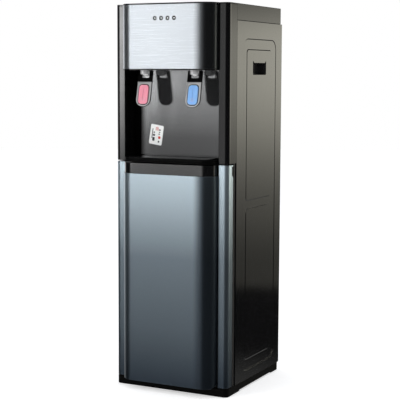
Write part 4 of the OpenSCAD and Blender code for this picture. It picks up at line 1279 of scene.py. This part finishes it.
class DISPENSER_OT_lever_hardware(PartOperator, Operator):
    """Pins and close-wound springs of the two levers"""

    bl_idname = "dispenser.lever_hardware"
    bl_label = "Lever Hardware"

    def make(self, s):
        spring_end, spring_start = span("lever_springs")[1].x, 16.3
        bm = bmesh.new()
        pins = span("lever_pins")
        pin_y, pin_z = (pins[0].y + pins[1].y) / 2, (pins[0].z + pins[1].z) / 2
        for side in SIDES:
            x = side * TAP_X
            lathe(bm, [(1.1, x - 20), (1.6, x - 19.5), (1.6, x + 19.5), (1.1, x + 20)],
                  (pin_y, pin_z), along_x, 20)
        piece("lever_pivot_pins", bm, ("lever_pins",))
        coils = bmesh.new()
        length = spring_end - TAP_X - spring_start - 0.4
        for side in SIDES:
            coil = grown("coil", tree(coil_tree), Finish=finish("stainless"), Turns=float(s.turns),
                         Radius=2.1, Length=length, Wire=0.38)
            coil.data.transform(Matrix.Translation((side * TAP_X + spring_start, pin_y, pin_z))
                                @ Matrix.Rotation(math.pi / 2, 4, "Y"))
            coils.from_mesh(coil.data)
            bpy.data.objects.remove(coil)
        obj = solid(coils, "lever_coil_springs")
        obj.data.shade_smooth()
        settled_on(obj, BODY_OF["lever_springs"], SLOT_OF["lever_springs"], ("lever_springs",),
                   ("stainless",))


class DISPENSER_OT_drip_tray(PartOperator, Operator):
    """Shallow drip tray and its slatted grille"""

    bl_idname = "dispenser.drip_tray"
    bl_label = "Drip Tray"

    def make(self, s):
        refined("drip_tray", 0.5, "drip_tray_shell", ("deep_black",), clamp=False)
        lo, hi = span("drip_grille")
        inset = BULGE + lo.y
        top, under = hi.z, hi.z - 2
        bm = bmesh.new()
        prism(bm, bulge_outline(inset, hi.y), under, top)
        for x in (-60, 60):
            for y in (0, 30):
                lathe(bm, [(2, lo.z), (2.5, lo.z + 0.5), (2.5, under + 0.5)], (x, y), along_z, 20)
        window = bmesh.new()
        reach = 106.5
        prism(window, rounded(2 * reach, 53, 3, 0, 5.5, 5), under - 1, top + 1)
        rim = shaped(solid(bm, "drip_grille_slats"), [solid(window)], edge=0.4)
        bar = bmesh.new()
        pitch = mm(s.slat_pitch)
        half = (pitch - 3.5) / 2
        prism(bar, [(0.4 - half, under + 0.1), (half - 0.4, under + 0.1), (half, top - 0.5),
                    (half - 0.3, top - 0.05), (0.3 - half, top - 0.05), (-half, top - 0.5)],
              -22, 33, along_y)
        count = int(2 * reach / pitch) - 1
        bars = repeated("bars", row_tree, solid(bar, "bar"), "gloss_black", Count=count,
                        Start=(-(count - 1) * pitch / 2, 0, 0), Pitch=(pitch, 0, 0))

        def cross_bars(merged):
            for y in (-9, 12):
                block(merged, (-reach - 1, reach + 1), (y, y + 2), (under, top - 0.7))

        merged_into(rim, [bars], cross_bars)
        settled_on(rim, BODY_OF["drip_grille"], SLOT_OF["drip_grille"], ("drip_grille",), ("gloss_black",))


class DISPENSER_OT_door_inside(PartOperator, Operator):
    """Door's inner moulding, lipped seal, magnet, hinge plates and pins"""

    bl_idname = "dispenser.door_inside"
    bl_label = "Door Inside"

    def make(self, s):
        refined("door_carcass", 0.5, "door_inner_moulding")
        refined("hinge_plates", 0.3)
        refined("hinge_pins", 0.5)
        refined("door_magnet", 0.5)
        refined("catch_plate", 0.12)
        lo, hi = span("door_gasket")
        y0, y1 = lo.y, hi.y
        profile = [(0.3, y0), (5.7, y0), (6.0, y0 + 0.4), (5.6, y0 + 1.1), (4.4, y0 + 1.3), (4.4, y0 + 1.9),
                   (5.7, y0 + 2.6), (5.8, y1 - 1.4), (4.9, y1 - 0.3), (3.4, y1), (1.9, y1 - 0.25),
                   (0.5, y1 - 1.2), (0.4, y0 + 2.6), (1.5, y0 + 1.9), (1.5, y0 + 1.3), (0.2, y0 + 1.0),
                   (0.0, y0 + 0.4)]
        w, h = hi.x - lo.x, hi.z - lo.z
        loops = []
        for inset, y in profile:
            outline = rounded(w - 2 * inset, h - 2 * inset, 12 - inset,
                              (lo.x + hi.x) / 2, (lo.z + hi.z) / 2, 10)
            loops.append([(a, y, b) for a, b in outline])
        bm = bmesh.new()
        skin(bm, [*loops, loops[0]], True)
        bmesh.ops.remove_doubles(bm, verts=bm.verts, dist=MERGED)
        piece("door_seal", bm, ("door_gasket",), smooth=40)


class DISPENSER_OT_bottle_bay(PartOperator, Operator):
    """Frame of the bay's mouth, loose floor, shelf, grip cups, and the suction hose and probe"""

    bl_idname = "dispenser.bottle_bay"
    bl_label = "Bottle Bay"

    def make(self, s):
        refined("bay_frame", 0.5, "bay_mouth_frame")
        refined("bottle_tray", 0.5, "bay_loose_floor")
        refined("mid_shelf", 0.3)
        refined("grip_cups", 0.6, "hand_grip_cups")
        run_z, joint_y, bend_z = span("intake_hose")[1].z - 5, 178, 524
        pump_x, probe_x, probe_y = -85, -123, 284
        hose_y = probe_y - 14
        bm = bmesh.new()
        tube(bm, eased([(pump_x - 10, joint_y, 605), (pump_x - 10, joint_y, run_z), (probe_x, joint_y, run_z),
                        (probe_x, hose_y, run_z), (probe_x, hose_y, bend_z), (probe_x, probe_y, bend_z),
                        (probe_x, probe_y, 507)], 6.5), 4, 16)
        for z in (560, 590):
            lathe(bm, [(4.1, z), (5.6, z), (6, z + 0.5), (6, z + 7.5), (5.6, z + 8), (4.1, z + 8)],
                  (probe_x, hose_y), along_z, 28)
        piece("suction_hose", bm, ("intake_hose",), smooth=40)
        bm = bmesh.new()
        turned_ring(bm, [(23.6, 470), (25.6, 470), (26, 470.6), (26, 494), (24.6, 495.7), (20, 496), (7, 496),
                         (7, 492), (22.6, 492), (23.6, 490.5)], (probe_x, probe_y), along_z, 48)
        lathe(bm, [(6.5, 466), (7, 466.6), (7, 497), (6.2, 498.5), (5.4, 501), (5.9, 502), (5.2, 504.5),
                   (5.6, 505.5), (5.0, 507)], (probe_x, probe_y), along_z, 32)
        for i in range(24):
            a = TAU * i / 24
            x, y = probe_x + 25.6 * math.cos(a), probe_y + 25.6 * math.sin(a)
            tube(bm, [Vector((x, y, 472)), Vector((x, y, 493))], 0.39, 6)
        lathe(bm, [(4.5, 467), (4.5, 78.4), (6.1, 77.6), (6.5, 76.6), (6.5, 60), (5.9, 58.4), (2, 58)],
              (probe_x, probe_y), along_z, 28, 1)
        obj = solid(bm, "suction_probe")
        holder = bmesh.new()
        block(holder, (-HALF_W + 1.2, probe_x + 8), (probe_y - 8, probe_y + 8), (440, 452))
        bore = bmesh.new()
        lathe(bore, [(4.7, 430), (4.7, 460)], (probe_x, probe_y), along_z, 28)
        held = shaped(solid(holder, "holder"), [solid(bore)], edge=0.8)
        merged_into(obj, [held])
        shaped(obj, smooth=35)
        settled_on(obj, BODY_OF["intake_probe"], SLOT_OF["intake_probe"], ("intake_probe",),
                   ("probe_blue", "stainless"))


class DISPENSER_OT_back(PartOperator, Operator):
    """Back panel with hooded louvres, screws, inlet, rocker switches and drain cap"""

    bl_idname = "dispenser.back"
    bl_label = "Back"

    def make(self, s):
        sheet = refined("back_panel", 0.0, "back_sheet").data
        if "custom_normal" in sheet.attributes:
            sheet.attributes.remove(sheet.attributes["custom_normal"])
        sheet.shade_flat()
        self.louvres()
        self.screws()
        refined("power_inlet", 0.4, "power_socket")
        refined("switch_bezel", 0.5, "switch_surround")
        refined("hot_switch", 0.5, "hot_rocker_switch")
        refined("cold_switch", 0.5, "cold_rocker_switch")
        self.cap()

    def louvres(self):
        """A pressed hood over each slot"""
        bm = bmesh.new()
        w, h, out, t = 37, 5.4, 2.6, 0.7
        section = [(h - 2 * h * i / 10, out * math.sin(math.pi * (i / 10) ** 0.75 * 0.5))
                   for i in range(11)]
        outer = [(z, max(y, 0.05)) for z, y in section]
        inner = [(z, max(y - t, -0.6)) for z, y in reversed(section)]
        profile = outer + inner
        steps = 12
        rows = []
        for i in range(steps + 1):
            u = -1 + 2 * i / steps
            fade = math.sqrt(max(1 - abs(u) ** 5, 0.0)) * 0.98 + 0.02
            rows.append([(u * w, y * fade, z) for z, y in profile])
        capped(bm, rows)
        part = solid(bm, "hood")
        points = [(side * 92, REAR_Y, 600 + 12 * i - 0.4) for side in SIDES for i in range(9)]
        scattered_piece("louvre_hoods", BODY_OF["back_panel"], "side_steel", (), part, points,
                        Spread=0.0, Seed=3)

    def screws(self):
        """Pan-head screws with a cross recess, each turned at random"""
        bm = bmesh.new()
        r = 3.7
        lathe(bm, [(1.5, -2.4), (1.5, 0), (r, 0), (r, 0.7), (3.35, 1.4), (2.5, 1.9), (1.2, 2.15), (0.3, 2.2)],
              (0, 0), along_y, 26)
        slots = []
        for w, h in ((4.6, 0.9), (0.9, 4.6)):
            cut = bmesh.new()
            capped(cut, [[(x * k, y, z * k) for x, z in ((-w / 2, -h / 2), (w / 2, -h / 2), (w / 2, h / 2),
                                                          (-w / 2, h / 2))]
                         for k, y in ((0.5, 0.8), (1.0, 2.4))])
            slots.append(solid(cut))
        part = shaped(solid(bm, "screw"), slots, smooth=35)
        x = span("back_screws")[1].x - r
        rows = (60, 240, 420, 610, 760, 890)
        points = [(side * x, REAR_Y, z) for side in SIDES for z in rows]
        scattered_piece("back_panel_screws", BODY_OF["back_screws"], SLOT_OF["back_screws"],
                        ("back_screws",), part, points, Spread=1.2, Seed=11)

    def cap(self):
        """Ribbed drain cap, its ribs set round by the ring tree"""
        lo, hi = span("drain_cap")
        centre = ((lo.x + hi.x) / 2, (lo.z + hi.z) / 2)
        bm = bmesh.new()
        lathe(bm, [(5.1, lo.y), (7, lo.y), (7, REAR_Y + 0.4), (9.6, REAR_Y + 0.4), (10.2, REAR_Y + 0.9),
                   (10.2, hi.y - 0.9), (9.5, hi.y - 0.15), (7.6, hi.y), (7.0, hi.y - 0.7), (1, hi.y - 0.8)],
              centre, along_y, 48)
        rib = bmesh.new()
        rib_r = 0.75
        prism(rib, [(10.1 + rib_r * math.cos(TAU * i / 8), rib_r * math.sin(TAU * i / 8)) for i in range(8)],
              0.9, hi.y - REAR_Y - 0.8, along_y)
        ribs = repeated("ribs", ring_tree, solid(rib, "rib"), "satin_black", Count=24,
                        Centre=(centre[0], REAR_Y, centre[1]))
        bm.from_mesh(ribs.data)
        bpy.data.objects.remove(ribs)
        piece("drain_screw_cap", bm, ("drain_cap",), smooth=35)


class DISPENSER_OT_cooling(PartOperator, Operator):
    """Heat sink, fan, cooling block, tanks and their jacket"""

    bl_idname = "dispenser.cooling"
    bl_label = "Cooling and Heating"

    def make(self, s):
        lo, hi = span("heat_sink")
        bm = bmesh.new()
        block(bm, (lo.x, hi.x), (lo.y, lo.y + 6), (lo.z, hi.z))
        fin = bmesh.new()
        prism(fin, [(-0.95, 5.9), (0.95, 5.9), (0.55, hi.y - lo.y), (-0.55, hi.y - lo.y)], lo.z, hi.z)
        pitch = (hi.x - lo.x - 1.9) / (s.fins - 1)
        fins = repeated("fins", row_tree, solid(fin, "fin"), "alloy", Count=s.fins,
                        Start=(lo.x + 0.95, lo.y, 0), Pitch=(pitch, 0, 0))
        bm.from_mesh(fins.data)
        bpy.data.objects.remove(fins)
        piece("finned_heat_sink", bm, ("heat_sink",), edge=0.2)
        refined("fan_frame", 0.6, "fan_housing")
        self.rotor(s)
        for node, edge in (("cooling_module", 0.4), ("cold_tank", 0.5), ("hot_tank", 0.5), ("tank_foam", 1.0),
                           ("heater_band", 0.3), ("pump", 0.6), ("valve_bodies", 0.4), ("display_board", 0.2),
                           ("control_board", 0.3), ("hot_valve_stem", 0.3), ("cold_valve_stem", 0.3)):
            refined(node, edge)

    def rotor(self, s):
        """Hub and twisted blades"""
        lo, hi = span("fan_rotor")
        x, z = (lo.x + hi.x) / 2, (lo.z + hi.z) / 2
        middle, tip, hub = (lo.y + hi.y) / 2, (hi.x - lo.x) / 2 - 0.5, 17
        bm = bmesh.new()
        turned_ring(bm, [(hub, middle - 8.3), (hub, middle + 7.2), (hub - 1.2, middle + 8.4),
                         (2.7, middle + 8.4), (2.7, middle + 6.8), (hub - 2.6, middle + 6.8),
                         (hub - 1.6, middle + 5.8), (hub - 1.6, middle - 8.3)], (x, z), along_y, 48)
        rows = []
        for i in range(9):
            r = hub - 0.6 + (tip - hub + 0.6) * i / 8
            pitch = math.radians(48 - 20 * i / 8)
            sweep = 0.30 * (i / 8) ** 1.6
            chord = 10.5 + 3.0 * i / 8
            row = []
            for k in range(12):
                across = max(-1, min(1, (k - 2.5) / 2.5 if k < 6 else (8.5 - k) / 2.5))
                thick = (0.75 if k < 6 else -0.75) * (1 - 0.85 * across ** 2)
                camber = 1.4 * (1 - across ** 2)
                along = across * chord * 0.5
                turn = sweep + (along * math.cos(pitch) - (thick + camber) * math.sin(pitch)) / r
                y = along * math.sin(pitch) + (thick + camber) * math.cos(pitch)
                row.append((r * math.cos(turn), y, r * math.sin(turn)))
            rows.append(row)
        blade = bmesh.new()
        capped(blade, rows)
        blades = repeated("blades", ring_tree, solid(blade, "blade"), "satin_black", Count=s.blades,
                          Centre=(x, middle, z))
        bm.from_mesh(blades.data)
        bpy.data.objects.remove(blades)
        piece("fan_impeller", bm, ("fan_rotor",), smooth=45)


class DISPENSER_OT_pipes(PartOperator, Operator):
    """Silicone pipes between the pump, the tanks and the taps"""

    bl_idname = "dispenser.pipes"
    bl_label = "Pipes"

    def make(self, s):
        y = PANEL_Y + 20
        tap_line, pump_x, tank_y, hot_x, cold_z = PIVOT[1] + 14, -85, 135, 62, 765
        runs = [
            [(pump_x + 10, 178, 605), (pump_x + 10, 178, 741), (-30, 178, 741), (-30, tank_y, 741),
             (-30, tank_y, cold_z + 1)],
            [(30, tank_y, cold_z + 1), (30, tank_y, 741), (hot_x, tank_y, 741), (hot_x, tank_y, 724)],
            [(-TAP_X, y, tap_line), (-TAP_X, y + 6, tap_line), (-TAP_X, y + 6, 700), (hot_x, y + 6, 700),
             (hot_x, 91, 700)],
            [(TAP_X, y, tap_line), (TAP_X, y + 8, tap_line), (TAP_X, y + 8, 734), (20, y + 8, 734),
             (20, 100, 734), (20, 100, cold_z + 1)],
        ]
        bm = bmesh.new()
        for run in runs:
            tube(bm, eased(run, 9), 4, 14)
        tube(bm, [Vector((hot_x, 186, 584)), Vector((hot_x, REAR_Y - 1, 584))], 5, 16)
        piece("silicone_pipes", bm, ("tank_pipes",), smooth=50)


class DISPENSER_OT_carried(PartOperator, Operator):
    """Finishes for the nodes that keep their own shape"""

    bl_idname = "dispenser.carried"
    bl_label = "Carried Parts"

    def make(self, s):
        for name, node in NODES.items():
            if not node.hide_render:
                node.data.materials.clear()
                node.data.materials.append(finish(SLOT_OF[name]))


# ---------------------------------------------------------------- stage

class DISPENSER_OT_stage(Operator):
    """Pale floor, soft studio light and the camera"""

    bl_idname = "dispenser.stage"
    bl_label = "Stage"

    def execute(self, context):
        s = context.scene.dispenser_stage
        self.floor(s)
        self.sky(context.scene, s)
        self.lamps(s)
        self.camera(context.scene)
        context.scene.view_settings.view_transform = "Standard"
        return {"FINISHED"}

    def floor(self, s):
        bm = bmesh.new()
        bmesh.ops.create_circle(bm, cap_ends=True, segments=96, radius=9)
        mesh = bpy.data.meshes.new("studio_floor")
        bm.to_mesh(mesh)
        bm.free()
        floor = link("studio_floor", mesh)
        f = Finish("studio_floor_finish", Emission_Color=(1, 1, 1, 1), Emission_Strength=0.5)
        base = f.tinted(f.noise(3, 3), scaled(s.floor, 0.985), tuple(s.floor))
        mesh.materials.append(f.surface(base, f.ranged(f.noise(40), 0, 1, 0.8, 0.9)))
        floor.visible_glossy = False

    def sky(self, scene, s):
        """A studio seen by reflections, an even glow for the rest, and white behind"""
        world = bpy.data.worlds.new("studio")
        world.use_nodes = True
        scene.world = world
        nodes, links = world.node_tree.nodes, world.node_tree.links
        nodes.clear()

        def add(kind, values=(), wanted=0, **settings):
            node = nodes.new(kind)
            for key, value in settings.items():
                setattr(node, key, value)
            for key, value in dict(values).items():
                if isinstance(value, bpy.types.NodeSocket):
                    links.new(value, node.inputs[key])
                else:
                    node.inputs[key].default_value = value
            return node.outputs[wanted]

        def maths(operation, a, b=0.0):
            return add("ShaderNodeMath", {0: a, 1: b}, operation=operation)

        def step(value, start, end):
            return add("ShaderNodeMapRange", {"Value": value, "From Min": start, "From Max": end}, "Result",
                       interpolation_type="SMOOTHSTEP")

        way = add("ShaderNodeTexCoord", wanted="Generated")
        part = {axis: add("ShaderNodeSeparateXYZ", {0: way}, axis) for axis in "XYZ"}
        degrees = 360 / TAU
        azimuth = maths("MULTIPLY", maths("ARCTAN2", part["X"], maths("MULTIPLY", part["Y"], -1.0)), degrees)
        rise = maths("MULTIPLY", maths("ARCSINE", part["Z"]), degrees)

        def panel(start, end, soft, low, top, glow, tone, cap=95):
            """Light from one range of directions: azimuth start to end, fading in from low to top"""
            across = maths("MULTIPLY", step(azimuth, start, start + soft), step(azimuth, end, end - soft))
            upward = maths("MULTIPLY", step(rise, low, top), step(rise, cap + 4, cap))
            strength = maths("MULTIPLY", maths("MULTIPLY", across, upward), glow)
            return add("ShaderNodeVectorMath", {0: tone, 3: strength}, operation="SCALE")

        white, beige = (1.0, 1.0, 1.0), (0.305, 0.296, 0.254)
        lights = [
            panel(-50, 12, 37, -22, -3, s.front * 0.9, white, 24),
            panel(-50, 12, 37, -34, -18, s.front * 0.1, white, 24),
            panel(-33.2, -30.1, 0.3, -6.0, 1.8, 10.5, white, 5),
            panel(-174, -98, 8, -24, -5, 1.15, white, 5),
            panel(108, 172, 7, -10.9, -10.3, s.side * 0.08, beige, 1.5),
            panel(108, 172, 7, -9.6, -5.0, s.side * 0.16, beige, 1.5),
            panel(108, 172, 7, -6.5, 0.5, s.side * 0.72, beige, 1.5),
            panel(106, 148, 6, -7.5, -1.0, s.side * 1.2, beige, 3),
            panel(84, 179, 5, -13.4, -15.4, s.side * 0.07, (0.3, 0.3, 0.29)),
            panel(-181, 181, 1, -17, -34, 0.3, white),
            panel(-181, 181, 1, 32, 55, 0.9, white),
            panel(-181, 181, 1, -200, -199, 0.015, white),
        ]
        total = lights[0]
        for light in lights[1:]:
            total = add("ShaderNodeVectorMath", {0: total, 1: light}, operation="ADD")
        path = nodes.new("ShaderNodeLightPath").outputs
        seen = add("ShaderNodeMix", {0: path["Is Glossy Ray"], 6: (0.62, 0.63, 0.65, 1), 7: total}, 2,
                   data_type="RGBA")
        seen = add("ShaderNodeMix", {0: path["Is Camera Ray"], 6: seen, 7: (1.0, 1.0, 1.0, 1)}, 2,
                   data_type="RGBA")
        glow = add("ShaderNodeBackground", {"Color": seen})
        out = nodes.new("ShaderNodeOutputWorld")
        links.new(glow, out.inputs["Surface"])

    def lamps(self, s):
        for name, place, size, power in (("key", (-1.6, -2.6, 2.2), 1.6, s.key),
                                         ("fill", (2.6, -1.2, 1.6), 1.8, s.key * 0.45),
                                         ("top", (0.0, 0.2, 2.6), 1.8, s.key * 0.5)):
            light = bpy.data.lights.new(name, "AREA")
            light.shape, light.size, light.energy = "DISK", size, power
            obj = link(name, light)
            obj.location = place
            obj.rotation_euler = (Vector((0, 0, 0.5)) - Vector(place)).to_track_quat("-Z", "Y").to_euler()
            obj.visible_glossy = obj.visible_camera = False

    def camera(self, scene):
        """Seen from the front right, a little above the alcove"""
        yaw, pitch, roll = math.radians(26.78), math.radians(6.29), math.radians(0.218)
        forward = Vector((-math.sin(yaw) * math.cos(pitch), math.cos(yaw) * math.cos(pitch),
                          -math.sin(pitch)))
        right = Vector((math.cos(yaw), math.sin(yaw), 0))
        up = right.cross(forward)
        x = right * math.cos(roll) + up * math.sin(roll)
        y = up * math.cos(roll) - right * math.sin(roll)
        data = bpy.data.cameras.new("camera")
        data.lens, data.sensor_width, data.clip_end = 103.35, 36, 50
        camera = link("camera", data)
        basis = Matrix((x, y, -forward)).transposed().to_4x4()
        camera.matrix_world = Matrix.Translation((1.31846, -2.59626, 0.78357)) @ basis
        scene.camera = camera


# ---------------------------------------------------------------- the add-on

PART_OPERATORS = (
    DISPENSER_OT_fascia, DISPENSER_OT_lamps, DISPENSER_OT_pillars, DISPENSER_OT_stiles,
    DISPENSER_OT_door_skin, DISPENSER_OT_alcove, DISPENSER_OT_top_cover, DISPENSER_OT_side_panels,
    DISPENSER_OT_base, DISPENSER_OT_taps, DISPENSER_OT_levers, DISPENSER_OT_lever_hardware,
    DISPENSER_OT_drip_tray, DISPENSER_OT_door_inside, DISPENSER_OT_bottle_bay, DISPENSER_OT_back,
    DISPENSER_OT_cooling, DISPENSER_OT_pipes, DISPENSER_OT_carried, DISPENSER_OT_stage,
)


class DISPENSER_PT_panel(Panel):
    """Lists the sizes, the colours and the operators"""

    bl_label = "Water Dispenser"
    bl_idname = "DISPENSER_PT_panel"
    bl_space_type = "VIEW_3D"
    bl_region_type = "UI"
    bl_category = "Dispenser"

    def draw(self, context):
        for group in (context.scene.dispenser_sizes, context.scene.dispenser_colours,
                      context.scene.dispenser_stage):
            box = self.layout.box()
            for key in group.__annotations__:
                box.prop(group, key)
        for operator in PART_OPERATORS:
            self.layout.operator(operator.bl_idname)


SETTINGS = {"dispenser_sizes": DispenserSizes, "dispenser_colours": DispenserColours,
            "dispenser_stage": DispenserStage}
CLASSES = (*SETTINGS.values(), *PART_OPERATORS, DISPENSER_PT_panel)


def register():
    for cls in CLASSES:
        bpy.utils.register_class(cls)
    for name, group in SETTINGS.items():
        setattr(bpy.types.Scene, name, PointerProperty(type=group))


def unregister():
    for name in SETTINGS:
        delattr(bpy.types.Scene, name)
    for cls in reversed(CLASSES):
        bpy.utils.unregister_class(cls)


def main():
    register()
    for operator in PART_OPERATORS:
        group, name = operator.bl_idname.split(".")
        getattr(getattr(bpy.ops, group), name)()


if __name__ == "__main__":
    main()
